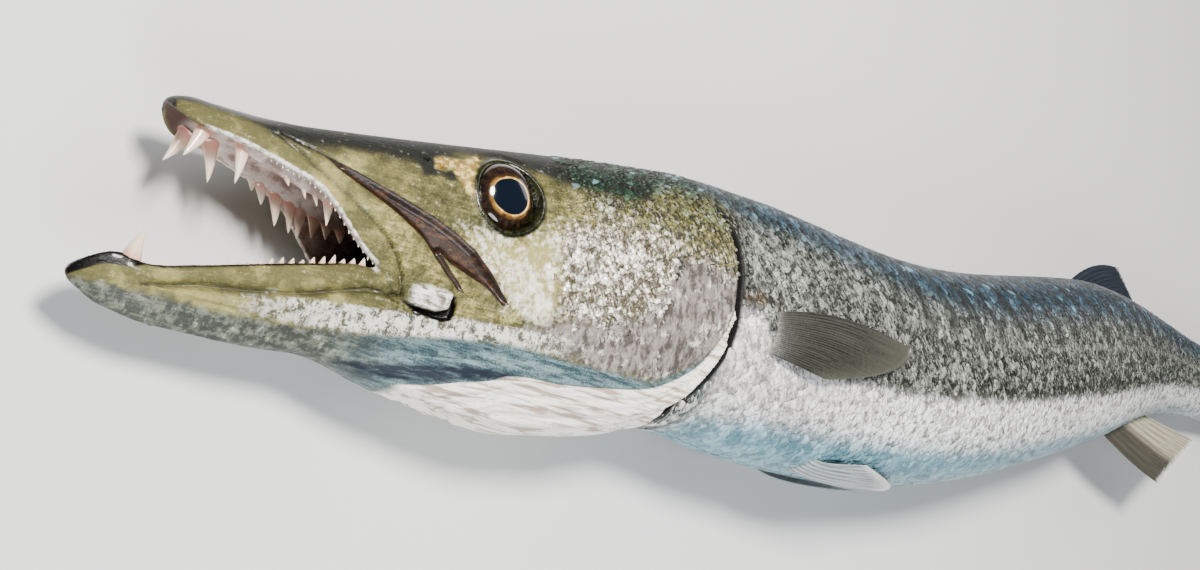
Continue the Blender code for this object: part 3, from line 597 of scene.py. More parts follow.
# Skin and scales share one set of paints
paints = {
    "back": (0.003, 0.008, 0.015), "backLight": (0.06, 0.19, 0.31), "flank": (0.095, 0.105, 0.09),
    "flankDark": (0.01, 0.01, 0.008), "flankLight": (0.42, 0.44, 0.39), "bright": (0.98, 0.975, 0.96),
    "brightDark": (0.16, 0.15, 0.145), "belly": (0.065, 0.16, 0.2), "bellyLight": (0.23, 0.42, 0.49),
    "gold": (0.06, 0.052, 0.012), "goldLight": (0.35, 0.31, 0.11), "olive": (0.022, 0.024, 0.007),
    "dusk": (0.002, 0.003, 0.0015), "green": (0.05, 0.14, 0.085), "cheekLight": (0.95, 0.9, 0.78),
    "cheekDark": (0.04, 0.03, 0.014), "plate": (0.06, 0.05, 0.044), "plateLight": (0.28, 0.25, 0.225),
    "white": (0.95, 0.91, 0.82), "whiteCrease": (0.4, 0.31, 0.24), "chalk": (0.72, 0.71, 0.64),
    "chalkDark": (0.06, 0.06, 0.04), "slate": (0.038, 0.044, 0.035), "slateLight": (0.15, 0.16, 0.12),
    "strip": (0.025, 0.05, 0.06), "stripLight": (0.17, 0.25, 0.26), "crease": (0.006, 0.011, 0.02),
    "black": (0.002, 0.002, 0.002), "brown": (0.012, 0.005, 0.002), "brownLight": (0.065, 0.026, 0.009),
    "pearl": (0.88, 0.85, 0.8), "pearlDark": (0.13, 0.11, 0.07), "nose": (0.26, 0.16, 0.035),
    "noseLight": (0.72, 0.57, 0.22), "rust": (0.045, 0.025, 0.008), "palate": (0.3, 0.21, 0.17),
    "palateLight": (0.58, 0.47, 0.41), "gullet": (0.03, 0.015, 0.01),
    "snoutInside": (0.05, 0.022, 0.014)}
markNames = (
    "inner", "crease", "dusk", "bright", "belly", "membrane", "gum", "slate", "chalk", "black", "brown",
    "pearl", "plate", "cheek", "glow", "nose", "lid", "rust", "line", "band", "slit")


def skinPaint(f):
    place = f.attribute("place", "Vector")
    along, up = f.split(place, 0), f.split(place, 1)
    fine = f.noise(place, 11, 4, 0.7)
    mid = f.noise(place, 3, 4, 0.65)
    sway = mid - 0.5
    wide = f.noise(place, 0.55, 3, 0.6)
    streaks = f.noise(f.stretch(place, (0.35, 2.4, 1.2)), 1.8, 4, 0.7)
    flaws = f.noise(f.stretch(place, (1, 0.75, 0.75)), 2.6, 4, 0.75)
    folds = f.noise(f.stretch(place, (0.13, 1.9, 1)), 2, 4, 0.6, 0.5)
    mark = {name: f.attribute(name) for name in markNames}
    tail = f.span(along, 31.5, 33)
    nape = f.span(along + sway * 8, 27, 38)

    def soft(name, grain=0.4, low=0.15, high=0.85):
        return f.span(mark[name] + sway * grain, low, high)

    # flanks, then the silver below, then the belly
    flank = f.layers(
        f.two(fine * 0.5 + mid * 0.5, 0.4, 0.56, "flankDark", "flank"),
        (f.span(fine + wide * 0.5, 0.76, 1), "flankLight"))
    silver = f.layers(
        f.two(flaws, 0.39, 0.53, "brightDark", "bright"),
        (f.span(along + sway * 6, 48, 36) * 0.5, "plateLight"))
    under = f.two(wide * 0.7 + flaws * 0.3, 0.38, 0.62, "belly", "bellyLight")
    # gold and olive of the face, with painted sparkle and painted highlight streaks
    face = f.layers(
        f.two(fine * 0.3 + mid * 0.45 + streaks * 0.25, 0.42, 0.6, "gold", "goldLight"),
        (f.span(along + sway * 8, 14, 9) * 0.6, "goldLight"),
        (f.span(wide + mid * 0.4, 0.56, 0.76) * 0.7, "olive"),
        (f.span(fine * 0.65 + streaks * 0.35, 0.57, 0.68) * 0.55, "noseLight"),
        (f.span(streaks * 0.6 + mid * 0.4, 0.58, 0.72) * 0.6, "cheekLight"))
    # dark back: olive-black with green flecks on the head, blue-black behind
    flecks = f.node("ShaderNodeTexVoronoi", {}, Vector=place, Scale=3.6, output="Distance")
    top = f.layers(
        "dusk",
        (f.span(flecks + (fine - 0.5) * 0.3, 0.26, 0.14) * f.span(along, 19, 23), "green"),
        (f.span(fine + mid, 1.12, 1.35) * 0.7, "gold"))
    dark = f.blend(nape, top, f.two(fine, 0.52, 0.72, "back", "backLight"))
    # glow under the eye, cheek, gill cover
    glow = f.two(mid * 0.35 + flaws * 0.35 + wide * 0.3, 0.45, 0.58, "goldLight", "cheekLight")
    cheek = f.layers(
        f.two(mid * 0.6 + wide * 0.4, 0.48, 0.6, "cheekDark", "plateLight"),
        (f.span(flaws, 0.5, 0.6), "cheekLight"))
    grain = f.noise(f.stretch(place, (1, 0.45, 0.45)), 2.6, 5, 0.75)
    plate = f.layers(
        f.two(grain, 0.4, 0.62, "plate", "plateLight"),
        (f.span(flaws * 0.6 + wide * 0.4, 0.53, 0.66) * 0.7, "cheekLight"))
    # side of the jaw, the blue strip under it, the pale folds of the throat with painted shade along
    # the folds
    chalk = f.two(flaws * 0.7 + fine * 0.3, 0.43, 0.54, "chalkDark", "chalk")
    speckle = f.layers(
        f.two(streaks * 0.35 + flaws * 0.65, 0.44, 0.58, "slate", "slateLight"),
        (f.span(flaws, 0.6, 0.7) * 0.4, "chalk"))
    strip = f.two(streaks * 0.6 + fine * 0.4, 0.42, 0.62, "strip", "stripLight")
    slate = f.two(along + mid * 6, 14, 19, speckle, strip)
    white = f.layers(
        f.two(folds, 0.38, 0.52, "whiteCrease", "white"),
        (f.span(folds, 0.6, 0.7) * 0.7, "plateLight"))
    # inside of the mouth, darker further in as painted shade
    flesh = f.layers(
        f.two(f.noise(place, 1.5, 3, 0.6), 0.4, 0.62, "palate", "palateLight"),
        (f.span(along + sway * 4, 10.5, 14.5), "gullet"),
        (f.span(along, 4.6, 3.4), "snoutInside"))
    pearl = f.two(flaws * 0.4 + streaks * 0.6, 0.42, 0.56, "pearlDark", "pearl")
    brown = f.two(streaks * 0.5 + mid * 0.5, 0.48, 0.62, "brown", "brownLight")
    colour = f.layers(
        f.blend(tail, face, flank),
        (soft("bright", 1), silver),
        (soft("belly", 0.9), under),
        (soft("band", 0.6) * 0.6, "flankDark"),
        (f.span(mark["dusk"] + sway * 0.7, 0.1, 0.9), dark),
        (soft("glow", 1.5) * 0.85, glow),
        (soft("cheek", 1.4) * 0.9, cheek),
        (soft("plate", 1.4), plate),
        (soft("chalk", 1.3) * 0.9, chalk),
        (soft("slate", 1), slate),
        (soft("membrane", 0.12, 0.3, 0.7), white),
        # painted shade in the fold below the jaw, broken into streaks
        (soft("crease", 0.6) * f.span(streaks, 0.75, 0.45, 0.55, 1), "crease"),
        (soft("gum", 0.7) * 0.8, f.two(mid, 0.35, 0.6, "plateLight", "white")),
        (soft("nose", 0.6), f.two(mid, 0.42, 0.58, "nose", "noseLight")),
        (mark["lid"], f.two(mid, 0.4, 0.6, "dusk", "olive")),
        (soft("rust", 0.6), "rust"),
        (mark["inner"], flesh),
        (f.span(mark["pearl"] + (flaws - 0.5) * 0.5, 0.15, 0.8), pearl),
        (f.span(mark["brown"], 0.25, 0.6), brown),
        # black marks, with the painted shade of the seams, the upper jaw's end plate and the gill slit
        (f.span(mark["black"].most(mark["slit"]) + (fine - 0.5) * 0.25, 0.25, 0.8), "black"))
    return {"colour": colour, "place": place, "along": along, "up": up, "mark": mark, "fine": fine,
            "mid": mid, "sway": sway, "wide": wide, "streaks": streaks, "folds": folds,
            "tail": tail, "nape": nape}


def skinFinish():
    f = Finish("fish skin", Coat_Roughness=0.12, Specular_IOR_Level=0.25)
    p = skinPaint(f)
    mark, fine = p["mark"], p["fine"]
    wet = (mark["brown"] * 0.6).most(mark["black"] * 0.8).most(mark["lid"])
    pores = f.noise(p["place"], 26, 3, 0.65)
    grain = (pores * 0.12 + fine * 0.35 + p["mid"] * 0.3 + p["streaks"] * 0.6) * (1 - wet * 0.8)
    return f.wear(
        Base_Color=p["colour"],
        # the painted shade in the gill slit is matt and has no coat
        Roughness=0.4 + fine * 0.2 - wet * 0.26 + mark["slit"] * 0.4,
        Metallic=(0.3 - mark["membrane"].most(mark["inner"]) * 0.3) * (1 - mark["dusk"] * 0.8),
        Coat_Weight=(0.05 + wet * 0.3) * (1 - mark["slit"]),
        Normal=f.bump(grain + mark["membrane"] * p["folds"] * 2.5, 0.8, 0.0014))


# Head, jaws and throat: closed shells melted into one skin
headSkin = {
    "voxel": 0.088, "ringStep": 0.3, "lip": 0.65, "coverThick": 0.55, "flare": 0.12, "sink": 0.02,
    "lobe": 0.36}


def headHalf(s):
    edge = upperLip(s)
    roof = max(mouthRoof(s), edge)
    outer = skinAt(s, np.linspace(90, angleAt(s, edge), 34))
    rim = outer[-1, 2]
    middle = (edge + roof) / 2
    wall = min(headSkin["lip"], 0.4 * rim)
    inner = widthAt(s, middle) - wall
    ridge = min(0.3, 0.3 * (roof - edge))
    inside = np.array([(s, edge, rim - 0.5 * wall), (s, middle, inner),
                       (s, roof - ridge, 0.66 * inner), (s, roof, 0.3 * inner), (s, roof, 0)])
    half = roundTip(np.concatenate([outer, inside]), s, "snout")
    half[0, 2] = 0
    return half


jawSide = ((0.02, 0.45), (0.1, 0.76), (0.25, 0.93), (0.5, 1), (0.7, 0.96), (0.8, 1),
           (0.93, 0.98))


def jawHalf(s):
    top = min(lowerLip(s), upperLip(s) - 0.06)
    top += 0.5 * smooth(15, 16.5, s)
    bottom = jawUnderside(s)
    height = top - bottom
    half = [(s, bottom, 0)]
    for share, spread in jawSide:
        level = bottom + share * height
        half.append((s, level, spread * widthAt(s, level)))
    rim = 0.92 * widthAt(s, top)
    floor = top - min(floorDrop(s), 0.6 * height)
    lip = min(0.35, 0.35 * rim)
    half += [(s, top, rim), (s, top, rim - lip), (s, floor + 0.15, rim - 1.3 * lip),
             (s, floor, 0.4 * rim), (s, floor - 0.08, 0)]
    return roundTip(np.array(half), s, "jaw")


def throatHalf(s, top, narrow):
    angles = np.linspace(angleAt(s, top), -90, 24)
    outer = skinAt(s, angles) * (1, 1, narrow)
    outer[:, 1] = top + (outer[:, 1] - top) * (0.4 + 0.6 * smooth(10.6, 14.5, s))
    outer[-1, 2] = 0
    inner = np.array([(s, top, outer[0, 2] * k) for k in (0.75, 0.5, 0.25, 0)])
    return np.concatenate([outer[::-1], inner])


def troughHalf(share):
    angles = np.linspace(-42, -90, 20)
    s = 23.2 + (gillEdge(angles) - 23.2) * share
    outer, inner = skinAt(s, angles), skinAt(s, angles, 0.72, 0.8)
    outer *= 1 + np.array([0, 0.016, 0.02]) * share ** 2
    outer[-1, 2] = inner[-1, 2] = 0
    return np.concatenate([outer[::-1], inner])


def coverShell(side):
    angles = np.linspace(body["coverTop"], body["coverBottom"] - 1.5, 60)
    rings = []
    for share in np.linspace(0, 1, 28):
        thick = headSkin["coverThick"] * (1 - 0.6 * share ** 3)
        s = body["coverHinge"] + (gillEdge(angles) - body["coverHinge"]) * share
        outer = skinAt(s, angles)
        outer[:, 2] += headSkin["flare"] * share ** 2 * np.cos(np.radians(angles))
        inner = skinAt(s, angles, thick, thick)
        rings.append(np.concatenate([outer, inner[::-1]]) * (1, 1, side))
    return tube("cover", rings)


# Bony bar along each side of the palate, which carries the inner teeth
def palateBar(side):
    rings = []
    turned = onceRound(20)
    for s in np.arange(6, 14.6, 0.4):
        girth = 0.46 * math.sin(math.pi * (s - 5.6) / 9.4) ** 0.4
        centre = (s, np.interp(s, [6, 9, 14.5], [0.1, -0.45, -1.6]), side * (0.75 + 0.045 * s))
        rings.append(np.stack([0 * turned, 1.25 * girth * np.sin(turned),
                               0.7 * girth * np.cos(turned)], 1) + centre)
    return tube("bar", rings)


def makeHeadSkin():
    step = headSkin["ringStep"]
    snout, jaw = ([tip["start"] + tip["length"] * x for x in tipSteps]
                  for tip in (tips["snout"], tips["jaw"]))
    throat = [throatHalf(s, jawUnderside(s) + 0.25, throatNarrowing(s))
              for s in np.arange(10.6, 19.5, 0.6)]
    throat += [throatHalf(s, upperLip(s) + 0.3, 1) for s in np.arange(19.6, 25, 0.6)]
    pieces = [shell("head", [headHalf(s) for s in snout + list(np.arange(3.8, 26.2, step))]),
              shell("jaw", [jawHalf(s) for s in jaw + list(np.arange(1.75, 19.6, step))]),
              shell("throat", throat),
              shell("trough", [troughHalf(k) for k in np.linspace(0, 1, 16)]),
              coverShell(1), coverShell(-1), palateBar(1), palateBar(-1)]
    bpy.ops.object.select_all(action="DESELECT")
    for piece in pieces:
        piece.select_set(True)
    bpy.context.view_layer.objects.active = pieces[0]
    bpy.ops.object.join()
    melted = pieces[0]
    remesh = melted.modifiers.new("melt", "REMESH")
    remesh.mode = "VOXEL"
    remesh.voxel_size = headSkin["voxel"]
    ease = melted.modifiers.new("ease", "SMOOTH")
    ease.factor, ease.iterations = 0.5, 4
    result = applied(melted)
    bpy.data.objects.remove(melted)
    return result


# Bones that stand up and seams that are pressed in: line, rise, half width
reliefLines = ((jawSeam, -0.1, 0.09), (grooveStart, -0.08, 0.12), (cheekRidge, 0.09, 0.16),
               (coverRidge, 0.05, 0.14))


def faceRelief(points, mark):
    s, d, w = points.T
    rise = (0.09 + 0.13 * smooth(11.5, 15, s)) * smooth(-0.05, 0.1, depthInside(s, d, maxillaShape))
    rise -= 0.34 * smooth(0, 0.35, depthInside(s, d, grooveShape))
    rise -= 0.35 * smooth(-0.02, 0.12, depthInside(s, d, plateShadow))
    for line, height, width in reliefLines:
        rise += height * bulge(nearLine(s, d, line)[0], width)
    gap, share = nearLine(s, d, lipFold)
    rise -= 0.2 * bulge(gap, 0.13) * smooth(0, 0.15, share)
    rise += 0.12 * bulge(gap - 0.5, 0.34) * (s < 14) * (d > -7)
    rise -= 0.08 * bulge(d - slateEdge(s) + 0.5, 0.3) * mark["slate"]
    depth = membraneTop(s) - d
    folds = np.sin(depth * 7 + 0.9 * np.sin(s * 0.55)) + 0.6 * np.sin(depth * 15 + s * 0.8)
    rise += (0.06 * folds + 0.06 * smooth(0, 0.15, depth)) * mark["membrane"]
    for at, up, size in nostrils:
        hole = np.hypot((s - at) / size, (d - up) / (1.35 * size))
        rise += 0.06 * bulge(hole - 1.3, 0.35) - 0.3 * smooth(1, 0.5, hole)
    reach = np.hypot(s - eye["along"], d - eye["up"])
    rise += 0.09 * bulge(reach - 1.82, 0.13) - 0.06 * bulge(reach - 2.15, 0.15)
    socket = smooth(1.68, 1.56, reach)
    return rise * (1 - mark["inner"]) * (1 - socket) - 0.75 * socket * (np.abs(w) > 1)


def finishHeadSkin(mesh):
    points, normals = readVectors(mesh, "co"), readVectors(mesh, "normal")
    marks = markings(points)
    reach = np.hypot(points[:, 0] - eye["along"], points[:, 1] - eye["up"])
    sideways = np.sign(points[:, 2:3]) * np.array([[0, 0, 1]])
    direction = np.where((reach < 1.7)[:, None], sideways, normals)
    points = points + direction * (faceRelief(points, marks) - headSkin["sink"])[:, None]
    layMesh(mesh, points)
    mesh.polygons.foreach_set("use_smooth", np.ones(len(mesh.polygons), bool))
    store(mesh, {"place": points, **marks})
    return addObject("skin_head", mesh)


skinMaterial = skinFinish()
headObj = finishHeadSkin(makeHeadSkin())
headObj.data.materials.append(skinMaterial)
print("head skin", len(headObj.data.polygons))


# How far the outside stands off the plain body: face bones, gill cover, fin root
def surfaceLift(points):
    s, d = points.T[:2]
    degrees = angleAt(s, d)
    hinge = body["coverHinge"]
    share = np.clip((s - hinge) / (gillEdge(degrees) - hinge), 0, 1)
    onCover = (s < 32.7) & (degrees < body["coverTop"]) & (degrees > body["coverBottom"])
    flare = headSkin["flare"] * share ** 2 * np.cos(np.radians(degrees)) * onCover
    lobe = headSkin["lobe"] * bulge(s - 35, 0.9) * bulge(d + 1.1, 1.5) * (s > 33)
    return flare + faceRelief(points, markings(points)) * (s < 32.6) + lobe


# Body skin: a tube from under the gill covers to the tail
bodySkin = {
    "start": 25.6, "sideInset": 0.95, "underInset": 1, "topInset": 0.04, "step": 0.4, "even": 37}


def makeBodySkin():
    angles = np.linspace(90, -90, 91)
    edge = gillEdge(angles)
    start, even, top = bodySkin["start"], bodySkin["even"], bodySkin["topInset"]
    covered = angles <= body["coverTop"] + 0.5
    side = np.where(covered, bodySkin["sideInset"], top)
    under = np.where(covered, bodySkin["underInset"], top)
    coated = (body["coatDepth"], body["coatDepth"])
    rings = [(start, side, under), ((start + edge) / 2, side, under), (edge, side, under),
             (edge + 0.2, side * 0.6, under * 0.6), (edge + body["slit"], 0.12, 0.12)]
    rings += [((edge + body["slit"] + 0.25) * (1 - share) + even * share, *coated)
              for share in np.linspace(0, 1, 12)[1:]]
    rings += [(s, *coated) for s in np.arange(even + 0.4, body["stalkEnd"], bodySkin["step"])]
    rings.append((body["stalkEnd"], 0.05, 0.05))
    halves = [skinAt(s, angles, *insets) for s, *insets in rings]
    for half in halves:
        half[0, 2] = half[-1, 2] = 0
    obj = shell("skin_body", halves)
    points = readVectors(obj.data, "co")
    points[:, 2] += np.sign(points[:, 2]) * surfaceLift(points) * (points[:, 0] > 33)
    store(obj.data, {"place": points, **markings(points)})
    layMesh(obj.data, points)
    obj.data.materials.append(skinMaterial)
    return obj


bodyObj = makeBodySkin()
print("body skin", len(bodyObj.data.polygons))

# Scales: thin plates with sunk roots and rounded rear edges, in rows along the body
coat = {
    "rows": 46, "start": 29, "pitch": 1, "least": 0.42, "length": 1.75, "height": 1.9, "sunk": -0.13,
    "lift": 0.005, "thick": 0.03, "tilt": 0.035, "twist": 0.03, "patch": 0.003, "calmSunk": 0.045,
    "calmLift": 0.03, "cheekPitch": 0.34, "cheekSunk": -0.07, "cheekLift": 0.045, "perScale": 64,
    "most": 190000}

# Girth, and angle at each share of it from back to belly, every half centimetre
ringAngles = np.linspace(90, -90, 241)
shareSteps = np.linspace(0, 1, 61)
tableStep = 0.5
tableAt = np.arange(14, 109, tableStep)
girths = np.zeros(len(tableAt))
angleTable = np.zeros((len(tableAt), len(shareSteps)))
for row, station in enumerate(tableAt):
    ring = skinAt(station, ringAngles)
    far = np.concatenate([[0], np.cumsum(np.linalg.norm(np.diff(ring, axis=0), axis=1))])
    girths[row] = far[-1]
    angleTable[row] = np.interp(shareSteps * far[-1], far, ringAngles)


def angleOf(s, share):
    i = np.clip((s - tableAt[0]) / tableStep, 0, len(tableAt) - 1.001)
    j = np.clip(share, 0, 1) * (len(shareSteps) - 1.001)
    a, b = i.astype(int), j.astype(int)
    u, v = i - a, j - b
    t = angleTable
    return (t[a, b] * (1 - u) * (1 - v) + t[a + 1, b] * u * (1 - v)
            + t[a, b + 1] * (1 - u) * v + t[a + 1, b + 1] * u * v)


def skinFrame(s, share):
    here, tail, down, up = (skinAt(s + x, angleOf(s + x, share + y))
                            for x, y in ((0, 0), (0.15, 0), (0, 0.004), (0, -0.004)))
    normal = np.cross(tail - here, down - up)
    normal /= np.linalg.norm(normal, axis=-1, keepdims=True) + 1e-9
    return here, normal * np.where(normal[..., 2:3] < 0, -1, 1)


# Each scale's root: along, share, pitch along, pitch across, even place, root depth, rim height
def bodyRoots():
    across = girths / coat["rows"]
    pitches = np.maximum(across * coat["pitch"], coat["least"])
    count = np.concatenate([[0], np.cumsum(tableStep / pitches[:-1])])
    first = math.ceil(np.interp(coat["start"], tableAt, count))
    found = []
    for row in range(coat["rows"]):
        columns = np.arange(first, count[-1] - 1) + 0.5 * (row % 2)
        evenAt = np.interp(columns, count, tableAt)
        columns = columns + draw.uniform(-0.3, 0.3, len(columns))
        at = np.interp(columns, count, tableAt)
        share = (row + 0.5 + draw.uniform(-0.28, 0.28, len(at))) / coat["rows"]
        found.append(np.stack([at, share, np.interp(at, tableAt, pitches),
                               np.interp(at, tableAt, across), evenAt,
                               np.full(len(at), (row + 0.5) / coat["rows"])], 1))
    found = np.concatenate(found)
    degrees = angleOf(found[:, 0], found[:, 1])
    start = gillEdge(degrees) + body["slit"] + 0.35
    keep = (found[:, 0] > start) & (found[:, 0] < 106.2)
    found, height = found[keep], skinAt(found[keep, 0], degrees[keep])[:, 1]
    calm = smooth(0.8, -0.8, height - brightEdge(found[:, 0]))   # flatter below the flank
    sunk = coat["sunk"] + coat["calmSunk"] * calm
    lift = coat["lift"] - coat["calmLift"] * calm
    return np.concatenate([found, sunk[:, None], lift[:, None]], 1)


# Small scales over the cheek, the nape and the top of the gill cover
def cheekRoots():
    pitch = coat["cheekPitch"]
    gap = 0.62 * pitch
    s, d = np.meshgrid(np.arange(20.6, 34, pitch), np.arange(-4.4, 6.2, gap))
    s = s + pitch * 0.5 * (np.round(d / gap) % 2)
    evenAt, evenUp = s.ravel(), d.ravel()
    s = (s + draw.uniform(-0.07, 0.07, s.shape)).ravel()
    d = (d + draw.uniform(-0.05, 0.05, d.shape)).ravel()
    onCheek = within(s, d, cheekShape, 1.5) > draw.uniform(0.05, 0.95, s.shape)
    crown = (d > 0.75 - 0.3 * (s - 25.5) * (s < 25.5) + draw.normal(0, 0.45, s.shape))
    crown &= d < back(s) - 0.1
    crown &= smooth(20.8, 23, s) > draw.uniform(0.05, 0.95, s.shape)
    crown &= np.hypot(s - eye["along"], d - eye["up"]) > 3
    degrees = angleAt(s, d)
    beyond = s - gillEdge(degrees)
    onNape = (degrees > body["coverTop"] + 1) & (beyond < 0.7)
    keep = (onCheek | crown) & ((beyond < -0.35) | onNape)
    s, degrees, evenAt, evenUp = s[keep], degrees[keep], evenAt[keep], evenUp[keep]
    rows = np.clip(((s - tableAt[0]) / tableStep).astype(int), 0, len(tableAt) - 1)
    share, evenShare = (np.array([np.interp(-a, -angleTable[k], shareSteps)
                                  for a, k in zip(angles, rows)])
                        for angles in (degrees, angleAt(evenAt, evenUp)))
    same = np.ones(len(s))
    return np.stack([s, share, pitch * same, 0.55 * pitch * same, evenAt, evenShare,
                     coat["cheekSunk"] * same, coat["cheekLift"] * same], 1)


def makeScales(name, roots, side):
    u, v = np.meshgrid([0, 0.42, 0.76, 1], np.linspace(-1, 1, 5), indexing="ij")
    nu, nv = u.shape
    u, v = u.ravel(), v.ravel()
    along = u * (1 - 0.36 * v * v) - 0.35
    across = v * (0.78 + 0.22 * np.sin(np.pi * np.clip(u * 1.15, 0, 1)))
    n, size = len(roots), len(u)
    at, share, pitch, rowPitch, evenAt, evenShare, sunk, lift = roots.T[:, :, None]
    random = draw.random((n, 5))[:, :, None]
    s = at + pitch * coat["length"] * (0.88 + 0.2 * random[:, 4]) * along
    girth = np.interp(at, tableAt, girths)
    shares = share + across * 0.5 * coat["height"] * rowPitch / girth
    here, normal = skinFrame(s.ravel(), shares.ravel())
    here[:, 2] += surfaceLift(here) * normal[:, 2]
    small = np.clip(pitch / 0.55, 0.5, 1)
    rise = sunk + (lift - sunk) * u ** 0.8
    rise = rise + ((random[:, 0] - 0.5) * coat["tilt"] * u + (random[:, 2] - 0.5) * v
                   * coat["twist"] * u - 0.02 * v * v * u) * small
    rise = rise.ravel()[:, None]
    ring = np.concatenate([np.arange(nv), np.arange(1, nu) * nv + nv - 1,
                           (nu - 1) * nv + np.arange(nv - 2, -1, -1),
                           np.arange(nu - 2, 0, -1) * nv])
    top = (here + normal * rise).reshape(n, size, 3)
    under = (here + normal * (rise - coat["thick"])).reshape(n, size, 3)[:, ring]
    points = np.concatenate([top, under], 1).reshape(-1, 3)
    per, m = size + len(ring), len(ring)
    k = np.arange(m)
    skirt = np.stack([ring[k], ring[(k + 1) % m], size + (k + 1) % m, size + k], 1)
    starts = (np.arange(n) * per)[:, None, None]
    groups = [gridFaces(nu, nv)[:, ::-1], skirt, (size + k)[None, ::-1]]
    spreads = [np.array(0.8), np.array([0.8, 0.8, 1, 1]), np.array(0.4)]
    points[:, 2] *= side
    if side < 0:
        groups = [group[:, ::-1] for group in groups]
        spreads[1] = spreads[1][::-1]
    faces = [(group[None] + starts).reshape(-1, group.shape[1]) for group in groups]
    reach, flank = np.concatenate([u, u[ring]]), np.concatenate([v, v[ring]])
    obj = meshFrom(name, layDown(points), faces, {
        "place": points, **markings(points), "rim": np.tile(reach, n),
        "pick": np.repeat(random[:, 1, 0], per), "tone": np.repeat(random[:, 3, 0], per)})
    # each scale's patch on the unwrapped flank: top inside, rim round it, underside beside them
    centre = np.concatenate([evenAt / 125, 0.5 + side * 0.48 * (1.01 - evenShare)], 1)
    patch = coat["patch"] * np.where(pitch < 0.4, 0.75, 1)
    spots = []
    for group, spread, aside in zip(groups, spreads, (0, 0, 1.4)):
        spot = np.stack([(reach[group] - 0.5) * spread, flank[group] * 0.5 * spread + aside], -1)
        spots.append((centre[:, None, None] + spot * patch[:, :, None, None]).reshape(-1, 2))
    layer = obj.data.uv_layers.new(name="OFBake")
    layer.data.foreach_set("uv", np.concatenate(spots).astype(np.float32).ravel())
    return obj


def coatFinish():
    f = Finish("fish scales", Coat_Roughness=0.12, Specular_IOR_Level=0.25)
    p = skinPaint(f)
    mark, fine, sway, tail, along, up = (p[key] for key in
                                         ("mark", "fine", "sway", "tail", "along", "up"))
    rim, pick, tone = f.attribute("rim"), f.attribute("pick"), f.attribute("tone")
    dusk = f.span(mark["dusk"] + sway * 0.5, 0.1, 0.9)
    calm = mark["bright"].most(mark["belly"])
    ease = f.span(along, 20.8, 25)   # cheek scales start in the skin's own colour
    # every scale its own lightness, alike in loose clusters
    lot = pick + sway * 0.9 + (p["wide"] - 0.5) * (1 - tail) * 1.6
    crown = f.two(tone + sway * 0.6, 0.45, 0.8, "goldLight", "cheekLight")
    crown = f.layers(
        f.two(up + sway * 3, 0.2, 2.6, "cheekLight", crown),
        (f.span(up + (pick - 0.5) * 3, 2.4, 4.2) * 0.6, "green"))
    lighter = f.layers(
        f.blend(tail, crown, "flankLight"),
        (dusk, f.blend(p["nape"], "green", "backLight")),
        (calm, f.blend(mark["belly"], "bright", "bellyLight")))
    darker = f.layers(
        f.two(mark["cheek"] + mark["glow"], 0.2, 0.8, "flankDark", "cheekDark"),
        (calm, f.blend(mark["belly"], "brightDark", "belly")))
    # painted shade in the pocket under the scale in front, painted highlight on each rear rim, slanting
    # dark slits, bars down the upper flank
    pocketShade = f.span(rim + (fine - 0.5) * 0.35 + (pick - 0.5) * 0.3, 0.66, 0.44)
    slits = f.noise(f.join(along * 4.2 + up * 1.7, up * 1.8), 1.5, 3, 0.6)
    wave = (along * 2.5 + up * 0.4 + p["wide"] * 2).maths("SINE")
    bars = f.span(wave + sway * 1.2, -0.1, 0.7) * f.span(along, 38, 48)
    bars = bars * f.span(up + sway * 2, -0.5, 2.5) * f.span(along, 104, 90)
    colour = f.layers(
        p["colour"],
        (f.span(lot, 0.42, -0.05) * (0.8 - calm * 0.25) * ease, darker),
        (f.span(lot, 0.58, 1) * (0.7 - dusk * 0.3) * ease, lighter),
        (mark["line"] * 0.3, "flankLight"),
        (pocketShade * (0.92 - calm * 0.75) * ease, darker),
        (f.span(rim, 0.86, 1) * tone * (0.5 - calm * 0.3), lighter),
        (f.span(slits, 0.52, 0.6) * (0.85 - calm * 0.35), darker),
        (f.span(slits, 0.44, 0.36) * (0.55 - dusk * 0.25) * ease, lighter),
        (bars * 0.72, "flankDark"),
        # painted glints on a few scales of the back
        (f.span(pick, 0.95, 0.99) * dusk * 0.45, "bellyLight"))
    lines = f.noise(f.stretch(p["place"], (4, 16, 16)), 1, 2, 0.5)
    return f.wear(
        Base_Color=colour,
        Roughness=0.36 + fine * 0.18 - pick * 0.16,
        Metallic=(0.1 + tone * 0.3) * (1 - dusk * 0.8) * (1 - calm * 0.6),
        Coat_Weight=pick * 0.12,
        Normal=f.bump(lines * 0.5 + fine * 0.6, 0.5, 0.0006))


coatMaterial = coatFinish()
roots = np.concatenate([cheekRoots(), bodyRoots()])
roots = roots[np.argsort(roots[:, 0])]
chunks = math.ceil(len(roots) * coat["perScale"] / coat["most"])
scalePieces = []
for label, side in (("left", 1), ("right", -1)):
    for number, part in enumerate(np.array_split(roots, chunks)):
        half = makeScales("scales_%s_%d" % (label, number + 1), part, side)
        half.data.materials.append(coatMaterial)
        scalePieces.append(half)
print("scales", 2 * len(roots), "pieces", len(scalePieces))


